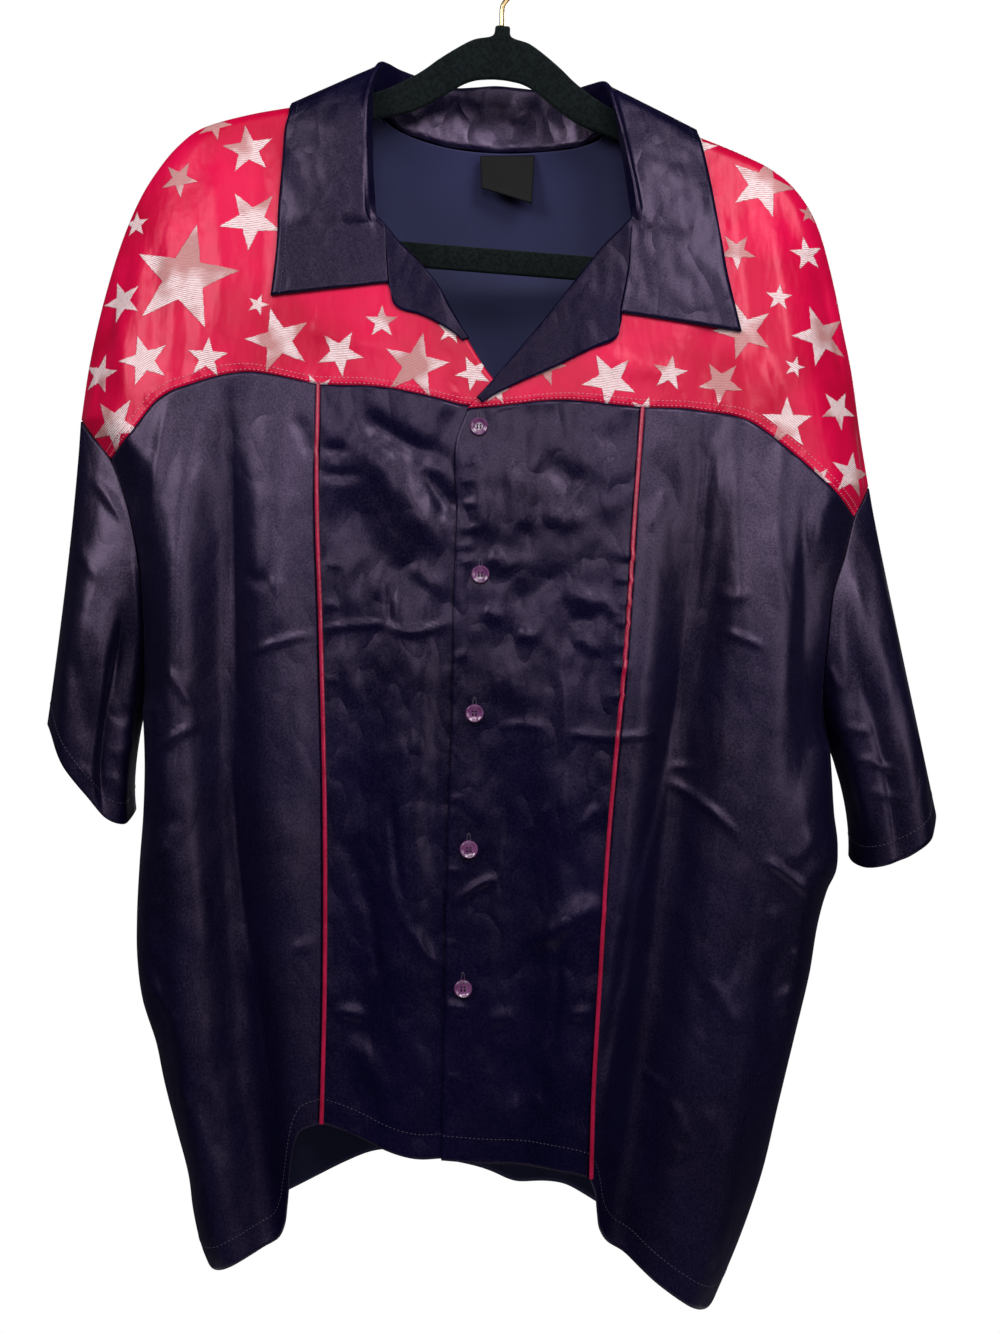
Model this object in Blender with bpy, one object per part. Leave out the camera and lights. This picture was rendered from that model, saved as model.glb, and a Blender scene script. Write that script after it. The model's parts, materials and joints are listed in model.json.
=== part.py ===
"""A bowling shirt, buttoned, hanging on a flocked suit hanger.

Metres, +Z up, front towards -Y, +X towards the wearer's left sleeve. The origin is the inside
top of the hook, where a rail carries it. All tables are in millimetres: x is sideways, drop is
how far a point hangs below the origin, and a depth is how far the cloth stands out from the
hanger's plane, to the front or to the back.
"""

import math

import bmesh
import bpy
import numpy as np
from mathutils import Matrix, Vector

MM = 0.001

# Cloth and seams
WALL = 1.2
SEAM_GAP = 0.4
LAY_ON = 1.0
LAP_STEP = WALL + 1.1
LAP_BLEND = 18.0
LAP_BEFORE_EDGE = 4.0
LAP_WIDTH = 34.0

# Trim and hanger
PIPING_RADIUS = 1.5
BUTTON_RADIUS = 6.35
BUTTON_HEIGHT = 2.6
BUTTON_HOLE_RADIUS = 0.9
BUTTON_HOLE_PITCH = 1.6
LABEL_WALL = 1.0
HANGER_THICKNESS = 5.5
HANGER_EDGE = 1.5
HANGER_TILT = math.radians(4.56)
HANGER_CROWN_DROP = 69.1
WIRE_RADIUS = 1.8
HOOK_RADIUS = 20.0
STEM_FOOT_DROP = 60.2

# How many cells each panel has
CENTRE_CELLS = 8
SIDE_CELLS = 14
SHOULDER_CELLS = 10
ARMHOLE_CELLS = 9
YOKE_EDGE_CELLS = 2
SKIRT_CELLS = 12
SLEEVE_CELLS = 9
LAPEL_CELLS = 4
EDGE_CLUSTER = 1.35
YOKE_ROWS = np.array([0, 0.012, 0.035, 0.08, 0.16, 0.28, 0.42, 0.52, 0.64, 0.76, 0.88, 1.0])


def table(columns, *rows):
    """Named columns of numbers, one row for each section, fold or station."""
    return {name: np.array(values, float) for name, values in zip(columns.split(), zip(*rows))}


# The shoulder lines, from the neck over the hanger to the tip of the drop shoulder
SHOULDER = {
    "right": table(
        "x drop",
        (-94, 106.5), (-138, 116.8), (-180, 124.2), (-214, 133.5), (-231, 145), (-246, 162),
        (-261, 186), (-275, 220), (-288, 264), (-297, 305), (-303, 345),
    ),
    "left": table(
        "x drop",
        (81, 116.5), (125, 134), (171, 152.5), (197, 166), (215, 183), (228, 207), (238, 243),
        (245, 277), (252, 312), (258, 356), (264, 393),
    ),
}
CREST = {name: np.concatenate([SHOULDER["right"][name][::-1], SHOULDER["left"][name]])
         for name in ("x", "drop")}

# Where the cloth stands at a distance below the shoulder line
SPREAD = table(
    "below front back",
    (0, 9, 10), (20, 13, 15), (50, 22, 24), (100, 34, 34), (160, 44, 41), (240, 52, 46),
    (360, 58, 50), (520, 61, 52), (680, 63, 54), (860, 66, 56),
)

# Armholes, top fold to underarm: the first two cells edge the yoke
ARMHOLE = {
    "right": table(
        "x drop front back",
        (-303, 345, 0, 0), (-293, 357, 11, 11), (-278, 374, 20, 20), (-267, 400, 28, 27),
        (-260, 425, 34, 31), (-255, 450, 36, 33), (-253, 480, 34, 33), (-253, 508, 28, 27),
        (-255, 533, 17, 16), (-257, 551, 0, 0),
    ),
    "left": table(
        "x drop front back",
        (264, 393, 0, 0), (258, 404, 9, 9), (251, 415, 17, 17), (242, 443, 30, 28),
        (233, 469, 37, 33), (229, 500, 38, 34), (227, 526, 33, 30), (228, 549, 23, 21),
        (232, 567, 11, 11), (235, 578, 0, 0),
    ),
}

# The same stations half way down each sleeve and at its hem; the back hem rises
SLEEVE_MIDDLE = {
    "right": table(
        "x drop front back rise",
        (-313, 455, 0, 0, 0), (-309, 461, 16, 15, 0), (-302, 474, 29, 27, 0), (-293, 492, 38, 36, 0),
        (-285, 514, 43, 41, 0), (-277, 536, 43, 41, 0), (-271, 556, 38, 36, 0),
        (-267, 574, 29, 27, 0), (-265, 586, 16, 15, 0), (-264.5, 591, 0, 0, 0),
    ),
    "left": table(
        "x drop front back rise",
        (283, 490, 0, 0, 0), (281, 498, 15, 14, 0), (277, 511, 28, 26, 0), (271, 529, 38, 36, 0),
        (265, 549, 42, 40, 0), (259, 569, 42, 40, 0), (254, 588, 36, 34, 0),
        (250, 604, 26, 24, 0), (247.5, 615, 13, 12, 0), (247, 620, 0, 0, 0),
    ),
}
SLEEVE_HEM = {
    "right": table(
        "x drop front back rise",
        (-327, 562, 0, 0, 0), (-322, 567, 17, 16, 4), (-314, 578, 30, 28, 10), (-304, 593, 38, 36, 18),
        (-294, 608, 41, 40, 24), (-285, 620, 40, 40, 26), (-277, 629, 36, 36, 24),
        (-271, 633, 28, 28, 17), (-266, 631, 15, 15, 8), (-264, 626, 0, 0, 0),
    ),
    "left": table(
        "x drop front back rise",
        (312, 626, 0, 0, 0), (309, 632, 15, 14, 4), (302, 641, 27, 26, 9), (293, 649, 36, 35, 15),
        (284, 656, 40, 40, 20), (274, 660, 40, 40, 22), (264, 663, 34, 34, 20),
        (257, 664, 24, 24, 14), (251.5, 662, 12, 12, 6), (250, 659, 0, 0, 0),
    ),
}

# Side folds of the body below the underarm
SIDE = {
    "right": table(
        "drop x",
        (551, -257), (589, -255.5), (627, -256.5), (660, -259), (700, -261), (723, -261),
        (757, -257), (789, -247), (814, -242), (849, -233), (883, -224), (906, -221),
        (930, -215), (950, -206),
    ),
    "left": table(
        "drop x",
        (578, 235), (600, 236.5), (627, 238), (650, 241), (664, 241), (678, 234), (695, 228.5),
        (741, 220), (783, 210), (833, 198), (883, 186), (934, 168), (970, 152),
    ),
}

# Necklines of the two yokes, from the side of the neck down to the top button, one row for each
# row of the yoke's grid, and the back's neckline between them
V_EDGE = {
    "right": table(
        "x drop",
        (-94, 106.5), (-94, 107.6), (-94, 111), (-94, 118), (-94, 133), (-93, 168), (-90, 204),
        (-73, 224), (-46, 253), (-29, 284), (-12.5, 312), (8, 339),
    ),
    "left": table(
        "x drop",
        (81, 116.5), (81.2, 117.6), (81.8, 121), (83, 128), (85, 143), (89, 172), (92.5, 206),
        (78, 221), (53, 252), (27.5, 284), (0.5, 315), (-24, 342),
    ),
}
BACK_NECK = table(
    "x drop",
    (-94, 106.5), (-89, 120), (-72, 132), (-42, 140.5), (-6, 144), (30, 144), (58, 141.5),
    (75, 134), (81, 116.5),
)

# Lower seams of the yokes, front edge to armhole
YOKE_SEAM = {
    "right": table(
        "x drop",
        (8, 339), (-19, 340), (-39, 336), (-83, 327), (-127, 325), (-150, 320), (-174, 316),
        (-195, 318), (-216, 324), (-235, 331), (-247, 342), (-263, 362), (-278, 374),
    ),
    "left": table(
        "x drop",
        (-24, 342), (-1, 340), (43, 336), (96, 341), (132, 342), (165, 348), (188, 361),
        (221, 388), (251, 415),
    ),
}

PIPING = {
    "right": table("drop x", (325, -128), (406, -129), (503, -126), (649, -123), (726, -123), (845, -125)),
    "left": table("drop x", (341, 98), (406, 93), (506, 86), (649, 73), (726, 68), (821, 62), (880, 60)),
}
PLACKET = table(
    "drop x",
    (342, -24), (348, -27), (424, -32), (473, -34), (546, -35), (642, -38), (759, -40), (870, -42),
)

# Hems, from the front edge to the side fold
FRONT_HEM = {
    "right": table(
        "x drop",
        (-8, 861), (-42, 861), (-54, 861), (-76, 856), (-91, 850), (-109, 842), (-125, 836),
        (-138, 840), (-145, 858), (-149, 893), (-153, 915), (-160, 922), (-171, 927), (-189, 935),
        (-200, 939), (-208, 939), (-213.6, 935),
    ),
    "left": table(
        "x drop",
        (-42, 862), (-1, 866), (40, 868), (60, 873), (65, 886), (68, 911), (75, 924), (86, 930),
        (108, 946), (132, 961), (146, 967), (154.6, 963),
    ),
}
BACK_HEM = table(
    "x drop",
    (-213.6, 935), (-203, 934), (-183, 926), (-158, 910), (-141, 900), (-112, 890), (-82, 882),
    (-46, 886), (-1, 903), (17, 911), (27, 904), (46, 904), (69, 921), (103, 944), (138, 960),
    (154.6, 963),
)

# Largest folds: a line down the cloth, how far it reaches to each side, and how far it stands
# out (a ridge) or sinks (a valley)
FRONT_FOLDS = table(
    "top bottom x_top x_middle x_bottom reach height",
    (300, 1050, -186, -187, -134, 17, -19),
    (330, 1150, -222, -226, -180, 30, 12),
    (300, 1100, -156, -150, -112, 22, 8),
    (330, 900, -100, -102, -88, 24, -6),
    (430, 1060, -66, -70, -66, 20, 7),
    (380, 1060, 142, 108, 54, 19, -22),
    (360, 1120, 190, 160, 100, 36, 13),
    (420, 620, 218, 213, 210, 12, -8),
    (380, 1100, 104, 72, 22, 22, 8),
    (560, 1100, 15, 12, 6, 22, -7),
    (480, 1100, 45, 40, 28, 18, 6),
    (640, 1100, 196, 176, 128, 16, -10),
    (600, 1100, -236, -230, -196, 12, -9),
)
BACK_FOLDS = table(
    "top bottom x_top x_middle x_bottom reach height",
    (92, 250, -6, -6, -6, 74, 14),
    (260, 1100, -172, -165, -120, 24, -15),
    (260, 1100, -216, -210, -165, 26, 10),
    (240, 1100, -112, -112, -82, 28, 10),
    (200, 1100, -54, -56, -40, 24, -12),
    (220, 1100, 2, 0, 0, 28, 10),
    (220, 1100, 60, 54, 36, 24, -12),
    (240, 1100, 114, 104, 70, 28, 10),
    (280, 1100, 166, 150, 100, 24, -15),
    (300, 1100, 206, 190, 136, 24, 10),
)
SLEEVE_FOLDS = {
    "right": table(
        "around reach top bottom height",
        (3.0, 1.1, 0.1, 1.6, 5), (5.6, 0.7, 0.0, 1.1, -9), (7.1, 0.7, 0.0, 1.3, 4),
        (12.0, 1.0, 0.05, 1.5, -7), (14.4, 1.0, 0.1, 1.6, 5),
    ),
    "left": table(
        "around reach top bottom height",
        (2.6, 1.0, 0.1, 1.6, 5), (4.6, 0.7, 0.05, 1.2, -6), (6.4, 0.7, 0.0, 0.9, 4),
        (11.8, 1.0, 0.05, 1.5, -7), (14.2, 1.0, 0.1, 1.6, 5),
    ),
}

# The collar, one end to the other: the neckline row its seam follows (or the gorge it follows on
# the yoke where the band has ended), its roll line, its outer edge and how much band it has
COLLAR = table(
    "neck gorge_x gorge_drop roll_x roll_drop roll_y edge_x edge_drop edge_y band",
    (3.5, -79.6, 253, -82, 253, -45, -162, 262, -30, 0),
    (4.0, -81.5, 230, -84, 229, -43, -159, 233, -30, 0),
    (4.75, -83.0, 210, -89, 211, -40, -158, 214, -30, 0.2),
    (5, -89.0, 203, -94.5, 197, -38.5, -158, 200, -28, 0.65),
    (6, -92.3, 168, -97, 162, -31.5, -156, 164, -20, 1),
    (7, -93.2, 133, -98, 124, -23, -155, 139, -14, 1),
    (8, -93.0, 117, -95, 103, -14, -152.5, 128, -8, 1),
    (11, -92.6, 107.0, -88, 86, 0, -150, 116.0, 0, 1),
    (12, -86.6, 123.4, -78, 86.5, 15, -140, 133, 12, 1),
    (13, -75.0, 130.5, -64, 89, 27, -112, 147, 24, 1),
    (14, -40, 138.2, -36, 95, 37, -60, 155, 30, 1),
    (15, -6, 141.6, -5, 92.5, 42, -6, 159, 32, 1),
    (16, 30, 143.2, 26, 96, 40, 44, 160, 30, 1),
    (17, 55, 141.3, 46, 99, 33, 84, 160, 25, 1),
    (18, 70, 134, 62, 98.5, 18, 118, 150, 17, 1),
    (18.5, 75, 125, 69, 98.5, 9, 131, 141.5, 9, 1),
    (19, 79.8, 115.4, 74, 100, 0, 139, 135, 0, 1),
    (20.5, 81, 121, 77.5, 105, -7, 140.5, 138.5, -5, 1),
    (22, 82, 127, 80, 112, -13, 142, 145, -10, 1),
    (23, 84.2, 143, 86, 136, -21.5, 145, 158, -14, 1),
    (24, 88.2, 171, 92, 165, -29.5, 149, 180, -20, 1),
    (25, 92.0, 200, 97.5, 196, -36.5, 153, 207, -28, 0.65),
    (25.1, 92, 212, 96, 217, -39, 156, 226, -30, 0.2),
    (26, 89.6, 240, 91, 241, -44, 159, 246, -30, 0),
    (26.6, 83.2, 274.5, 85.6, 275, -48, 168, 287, -30, 0),
)
ROLL_HALF_WIDTH = 2.6
ROLL_DEPTH = 2.4

# Lapels lie on the yokes between the neckline and their own outer edge
LAPEL = {
    "right": table(
        "neck_x neck_drop outer_x outer_drop",
        (-73.5, 224, -80.9, 228), (-60, 238.5, -78.8, 252), (-47, 254, -74.3, 269),
        (-37.5, 270.5, -56, 275.5), (-29.5, 284.5, -36, 286), (-24.5, 292.5, -27, 293.5),
    ),
    "left": table(
        "neck_x neck_drop outer_x outer_drop",
        (82, 217, 90.2, 220.5), (72, 227.5, 87.9, 246), (60.5, 242, 82.8, 272), (48, 258, 80.2, 291),
        (30.5, 280.5, 61, 300), (12.5, 302, 37, 312), (-0.5, 317.5, 12, 323), (-10, 328.5, -5, 331.5),
        (-16.5, 335.5, -14.5, 337.5),
    ),
}

BUTTONS = table("x drop", (-16, 355), (-15, 458), (-19, 554), (-23, 648), (-27, 744))

LABEL = table("x drop y", (-16, 147, 27.6), (24, 146.6, 27.6), (-15, 171, 26.0), (22, 183, 24.5))

# Half of the hanger, in its own level frame, crown to the middle of the bar
HANGER = table(
    "outer_x outer_drop inner_x inner_drop",
    (0, -8.5, 0, 30), (5, -8, 4, 30.1), (7, -1, 9, 30.6), (20, 2.7, 17, 32), (32, 10, 26, 36),
    (44.5, 19.2, 36, 43), (55, 28, 48, 51), (70, 38, 62, 58.5), (85, 45.5, 84, 65),
    (107, 53, 106, 71), (130, 60.8, 128, 78), (170, 72, 165, 90), (195, 81, 186, 99),
    (210, 90, 195, 107), (220, 103, 199, 117), (222, 122, 198, 128), (217, 142, 193, 139),
    (204, 158, 184, 147), (186, 167, 170, 151), (150, 169.5, 140, 151.7), (75, 169.5, 75, 151.7),
    (0, 169.5, 0, 151.7),
)

CLOTH_SATIN = ("satin", (0.018, 0.012, 0.032, 1), 0.34, 0.0)
CLOTH_STARS = ("star_brocade", (0.62, 0.012, 0.055, 1), 0.42, 0.0)
PIPING_RED = ("piping", (0.48, 0.01, 0.05, 1), 0.4, 0.0)
BUTTON_PLUM = ("button", (0.16, 0.045, 0.16, 1), 0.2, 0.0)
LABEL_BLACK = ("label", (0.012, 0.012, 0.015, 1), 0.6, 0.0)
FLOCK = ("flocking", (0.008, 0.011, 0.012, 1), 0.95, 0.0)
BRASS = ("brass", (0.72, 0.52, 0.27, 1), 0.25, 1.0)


# ---------------------------------------------------------------- curves and surfaces

def smooth(at, values, where):
    """A cubic curve through the given values, read at any places."""
    slope = np.gradient(values, at)
    where = np.clip(where, at[0], at[-1])
    cell = np.clip(np.searchsorted(at, where) - 1, 0, len(at) - 2)
    width = at[cell + 1] - at[cell]
    t = (where - at[cell]) / width
    start = (1 + 2 * t) * (1 - t) ** 2 * values[cell] + t * (1 - t) ** 2 * width * slope[cell]
    end = t * t * (3 - 2 * t) * values[cell + 1] + t * t * (t - 1) * width * slope[cell + 1]
    return start + end


def ease(t):
    """Rises smoothly from 0 to 1."""
    t = np.clip(t, 0.0, 1.0)
    return t * t * (3 - 2 * t)


def stations(rows, columns, where):
    """Points along a table's rows, by row number: where 1.5 is half way from row 1 to row 2."""
    at = np.arange(len(rows[columns[0]]), dtype=float)
    return np.stack([smooth(at, rows[name], where) for name in columns], axis=-1)


def run_along(points, fractions):
    """Points at fractions of the length of a path."""
    steps = np.linalg.norm(np.diff(points[:, :3], axis=0), axis=1)
    length = np.concatenate([[0], np.cumsum(steps)])
    return np.stack([np.interp(fractions * length[-1], length, points[:, k])
                     for k in range(points.shape[1])], axis=-1)


def path(rows, columns, fractions, fine=12):
    """A table's curve through its rows, read at fractions of its length."""
    count = len(rows[columns[0]])
    dense = stations(rows, columns, np.linspace(0, count - 1, (count - 1) * fine + 1))
    return run_along(dense, fractions)


def rows_of(rows, *columns):
    return np.stack([rows[name] for name in columns], axis=-1)


def crest_drop(x):
    return np.interp(x, CREST["x"], CREST["drop"])


def armhole_ring(side, where):
    """x, drop and y on the armhole: 0 is its top fold, then down the front and up the back."""
    rows = ARMHOLE[side]
    return ring_points(rows, where)


def ring_points(rows, where):
    """A closed smooth loop through a sleeve table's stations."""
    last = len(rows["x"]) - 1
    rise = rows.get("rise", np.zeros(last + 1))
    front = np.stack([rows["x"], rows["drop"], -rows["front"]], axis=-1)
    back = np.stack([rows["x"], rows["drop"] - rise, rows["back"]], axis=-1)[-2:0:-1]
    loop = np.concatenate([front, back])
    size = len(loop)
    cell = np.floor(where).astype(int)
    t = (where - cell)[:, None]
    before, here, after, beyond = (loop[(cell + k) % size] for k in (-1, 0, 1, 2))
    return 0.5 * (2 * here + (after - before) * t + (2 * before - 5 * here + 4 * after - beyond) * t ** 2
                  + (3 * here - before - 3 * after + beyond) * t ** 3)


def side_tables():
    """For each side: how far out the cloth's edge lies at a drop, and how deep the edge is there."""
    found = {}
    for side in ("right", "left"):
        across, drops = SHOULDER[side]["x"], SHOULDER[side]["drop"]
        crest = np.stack([drops, across, 0 * across, 0 * across], axis=-1)
        arm = armhole_ring(side, np.linspace(0, ARMHOLE_CELLS, 91))
        back = armhole_ring(side, 2 * ARMHOLE_CELLS - np.linspace(0, ARMHOLE_CELLS, 91))
        arm = np.stack([arm[:, 1], arm[:, 0], -arm[:, 2], back[:, 2]], axis=-1)
        drops = np.linspace(SIDE[side]["drop"][0], SIDE[side]["drop"][-1], 120)
        skirt = np.stack([drops, smooth(SIDE[side]["drop"], SIDE[side]["x"], drops),
                          0 * drops, 0 * drops], axis=-1)
        rows = np.concatenate([crest[:-1], arm, skirt[1:]])
        found[side] = rows[np.argsort(rows[:, 0], kind="stable")]
    return found


EDGES = side_tables()


def edge_x(side, drop):
    return np.interp(drop, EDGES[side][:, 0], EDGES[side][:, 1])


def edge_depth(side, drop, face):
    return np.interp(drop, EDGES[side][:, 0], EDGES[side][:, 2 if face == "front" else 3])


def fold_heights(folds, x, drop):
    """The sum of all ridges and valleys at a place."""
    total = np.zeros(np.broadcast(x, drop).shape)
    for k in range(len(folds["top"])):
        top, bottom = folds["top"][k], folds["bottom"][k]
        t = np.clip((drop - top) / (bottom - top), 0, 1)
        line = ((1 - t) * (1 - 2 * t) * folds["x_top"][k] + 4 * t * (1 - t) * folds["x_middle"][k]
                + t * (2 * t - 1) * folds["x_bottom"][k])
        fade = ease(t / 0.22) * ease((1 - t) / 0.22)
        total = total + folds["height"][k] * fade * np.exp(-((x - line) / folds["reach"][k]) ** 2)
    return total


def depth(x, drop, face, grow=0.0):
    """How far the outer side of the cloth stands from the hanger's plane. Grown, it is moved out."""
    below = np.maximum(drop - crest_drop(x) + grow, 1e-6)
    from_right = np.maximum(x - edge_x("right", drop) + grow, 1e-6)
    from_left = np.maximum(edge_x("left", drop) - x + grow, 1e-6)
    inside = 1 / np.sqrt(from_right ** -2 + from_left ** -2 + below ** -2)
    full = smooth(SPREAD["below"], SPREAD[face], below)
    full = full + fold_heights(FRONT_FOLDS if face == "front" else BACK_FOLDS, x, drop) + grow
    at_edge = np.where(x < 0, edge_depth("right", drop, face), edge_depth("left", drop, face))
    reach = np.maximum(9 + 23 * ease((np.abs(x) - 185) / 100), 32 * ease((drop - 250) / 150))
    soft = 0.5 + 0.5 * np.clip(at_edge / 15, 0, 1)
    rounding = (1 - (1 - np.clip(inside / reach, 0, 1)) ** 2) ** soft
    return at_edge + (full - at_edge) * rounding


def surface(x, drop, face, grow=0.0):
    """Points and outward normals of the front or the back of the shirt."""
    step = 0.5
    sign = -1.0 if face == "front" else 1.0
    across = (depth(x + step, drop, face, grow) - depth(x - step, drop, face, grow)) / (2 * step)
    down = (depth(x, drop + step, face, grow) - depth(x, drop - step, face, grow)) / (2 * step)
    normals = np.stack([-across, sign * np.ones_like(across), down], axis=-1)
    normals /= np.linalg.norm(normals, axis=-1, keepdims=True)
    points = np.stack([x, sign * depth(x, drop, face, grow), -drop], axis=-1)
    return points, normals


def coons(top, bottom, left, right, across, down, fade=1):
    """A grid between four edges that meet at its corners. Rows run down, columns across.

    How the side edges wander from straight lines fades towards the middle.
    """
    u = across[None, :, None]
    v = down[:, None, None]
    left_line = (1 - v[:, 0]) * left[0] + v[:, 0] * left[-1]
    right_line = (1 - v[:, 0]) * right[0] + v[:, 0] * right[-1]
    return ((1 - v) * top[None] + v * bottom[None] + (1 - u) ** fade * (left - left_line)[:, None]
            + u ** fade * (right - right_line)[:, None])


def flattened(normals):
    """Normals turned into the hanger's plane."""
    flat = normals * np.array([1, 0, 1])
    return flat / np.linalg.norm(flat, axis=-1, keepdims=True)


# ---------------------------------------------------------------- the panels' grids

def outer_spacing(count):
    """Fractions that close up towards 1."""
    return 1 - (1 - np.linspace(0, 1, count + 1)) ** EDGE_CLUSTER


def yoke_fractions():
    """Shares of the yoke seam: the centre panel's cells, then the side panel's."""
    centre = np.linspace(0, 1, CENTRE_CELLS + 1)
    return centre, outer_spacing(SIDE_CELLS)


def yoke_seam(side):
    """Stations of x and drop along the yoke's lower seam, and the small step down off it.

    The piping starts at the last station of the centre panel.
    """
    dense = path(YOKE_SEAM[side], ("x", "drop"), np.linspace(0, 1, 241))
    start = PIPING[side]["x"][0]
    split = int(np.argmin(np.abs(dense[:, 0] - start)))
    centre, outer = yoke_fractions()
    stations_on_seam = np.concatenate([run_along(dense[: split + 1], centre),
                                       run_along(dense[split:], outer)[1:]])
    along = np.gradient(stations_on_seam, axis=0)
    down = np.stack([-along[:, 1], along[:, 0]], axis=-1) * -towards_centre(side)
    return stations_on_seam, down / np.linalg.norm(down, axis=-1, keepdims=True) * SEAM_GAP / 2


def yoke_top(side):
    """The yoke's shoulder edge: each shoulder cell is cut in two or three."""
    cells = np.interp(np.arange(CENTRE_CELLS + SIDE_CELLS + 1),
                      np.cumsum([0, 3, 3] + [2] * (SHOULDER_CELLS - 2)), np.arange(SHOULDER_CELLS + 1))
    line = rows_of(SHOULDER[side], "x", "drop")
    normals = shoulder_normals(side, "front")
    return (np.stack([np.interp(cells, np.arange(len(line)), line[:, k]) for k in (0, 1)], axis=-1),
            np.stack([np.interp(cells, np.arange(len(line)), normals[:, k]) for k in range(3)], axis=-1))


def shoulder_normals(side, face):
    _, normals = surface(SHOULDER[side]["x"], SHOULDER[side]["drop"], face)
    return flattened(normals)


def armhole_rows(side, face, low_gap):
    """The armhole on one face, top fold to underarm: x, drop, y and normal, moved off the seam."""
    rows = ARMHOLE[side]
    sign = -1 if face == "front" else 1
    points = np.stack([rows["x"], rows["drop"], sign * rows[face]], axis=-1)
    _, normals = surface(points[:, 0], points[:, 1], face)
    normals[0], normals[-1] = flattened(normals[0]), flattened(normals[-1])
    normals[1:-1] = (normals[:-2] + 2 * normals[1:-1] + normals[2:]) / 4
    normals /= np.linalg.norm(normals, axis=-1, keepdims=True)
    points[:, :2] += armhole_away(side) * low_gap
    return np.concatenate([points, normals], axis=1)


def armhole_away(side):
    """Directions of x and drop that lead from the body into the sleeve, square to the seam."""
    along = np.gradient(rows_of(ARMHOLE[side], "x", "drop"), axis=0)
    away = np.stack([-along[:, 1], along[:, 0]], axis=-1) * towards_centre(side)
    return away / np.linalg.norm(away, axis=-1, keepdims=True)


def lap_offset(x, drop):
    """How far the underlapping front steps back behind the buttonhole edge."""
    edge = smooth(PLACKET["drop"], PLACKET["x"], drop)
    return LAP_STEP * ease((x - edge + LAP_BEFORE_EDGE + LAP_BLEND) / LAP_BLEND)


def front_points(side, plane):
    """Points and normals of a front panel's grid of x and drop."""
    points, normals = surface(plane[..., 0], plane[..., 1], "front")
    if side == "right":
        points = points - normals * lap_offset(plane[..., 0], plane[..., 1])[..., None]
    return points, normals


def towards_centre(side):
    return 1.0 if side == "right" else -1.0


def yoke_grid(side):
    seam, step = yoke_seam(side)
    bottom = seam - step
    top, top_normals = yoke_top(side)
    neck = rows_of(V_EDGE[side], "x", "drop")
    arm = armhole_rows(side, "front", -SEAM_GAP / 2)[: YOKE_EDGE_CELLS + 1]
    arm = run_along(arm, YOKE_ROWS)
    edge = arm[:, :2]
    top, bottom = with_ends(top, neck[0], edge[0]), with_ends(bottom, bottom[0], edge[-1])
    neck[-1] = bottom[0]
    across = np.linspace(0, 1, CENTRE_CELLS + SIDE_CELLS + 1)
    plane = coons(top, bottom, neck, edge, across, YOKE_ROWS)
    points, normals = front_points(side, plane)
    points[0, :, 1] = -SEAM_GAP / 2
    normals[0] = top_normals
    points[:, -1, 1] = np.minimum(arm[:, 2], -SEAM_GAP / 2)
    normals[:, -1] = arm[:, 3:]
    return points, normals


def front_centre_grid(side):
    down = np.concatenate([np.linspace(0, 0.35, 8), np.linspace(0.35, 1, SKIRT_CELLS + 1)[1:]])
    seam, step = yoke_seam(side)
    top = (seam + step)[: CENTRE_CELLS + 1]
    hem = path(FRONT_HEM[side], ("x", "drop"), np.linspace(0, 1, 401))
    line = PIPING[side]
    split = int(np.argmin(np.abs(hem[:, 0] - line["x"][-1])))
    bottom = run_along(hem[: split + 1], np.linspace(0, 1, CENTRE_CELLS + 1))
    drops = top[-1, 1] + (bottom[-1, 1] - top[-1, 1]) * down
    inwards = towards_centre(side) * SEAM_GAP / 2
    seam = np.stack([smooth(line["drop"], line["x"], drops) + inwards, drops], axis=-1)
    drops = top[0, 1] + (bottom[0, 1] - top[0, 1]) * down
    edge = smooth(PLACKET["drop"], PLACKET["x"], drops) + (LAP_WIDTH if side == "right" else 0)
    front = np.stack([edge, drops], axis=-1)
    top, bottom = with_ends(top, front[0], seam[0]), with_ends(bottom, front[-1], seam[-1])
    plane = coons(top, bottom, front, seam, np.linspace(0, 1, CENTRE_CELLS + 1), down)
    return front_points(side, plane)


def with_ends(points, first, last):
    points = points.copy()
    points[0], points[-1] = first, last
    return points


def front_side_grid(side):
    down = np.concatenate([np.linspace(0, 0.35, 8), np.linspace(0.35, 1, SKIRT_CELLS + 1)[1:]])
    seam, step = yoke_seam(side)
    top = (seam + step)[CENTRE_CELLS:]
    hem = path(FRONT_HEM[side], ("x", "drop"), np.linspace(0, 1, 401))
    line = PIPING[side]
    split = int(np.argmin(np.abs(hem[:, 0] - line["x"][-1])))
    bottom = run_along(hem[split:], outer_spacing(SIDE_CELLS))
    drops = top[0, 1] + (bottom[0, 1] - top[0, 1]) * down
    away = towards_centre(side) * SEAM_GAP / 2
    seam = np.stack([smooth(line["drop"], line["x"], drops) - away, drops], axis=-1)
    edge, edge_normals = side_edge(side, "front", bottom[-1, 1])
    edge, edge_normals = edge[YOKE_EDGE_CELLS:], edge_normals[YOKE_EDGE_CELLS:]
    corner = edge[1, :2] - edge[0, :2]
    edge[0, :2] += corner / np.linalg.norm(corner) * SEAM_GAP
    top, bottom = with_ends(top, seam[0], edge[0, :2]), with_ends(bottom, seam[-1], edge[-1, :2])
    across = np.linspace(0, 1, SIDE_CELLS + 1)
    plane = coons(top, bottom, seam, edge[:, :2], across, down)
    points, normals = front_points(side, plane)
    points[:, -1, 1] = np.minimum(edge[:, 2], -SEAM_GAP / 2)
    normals[:, -1] = edge_normals
    return points, normals


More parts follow.
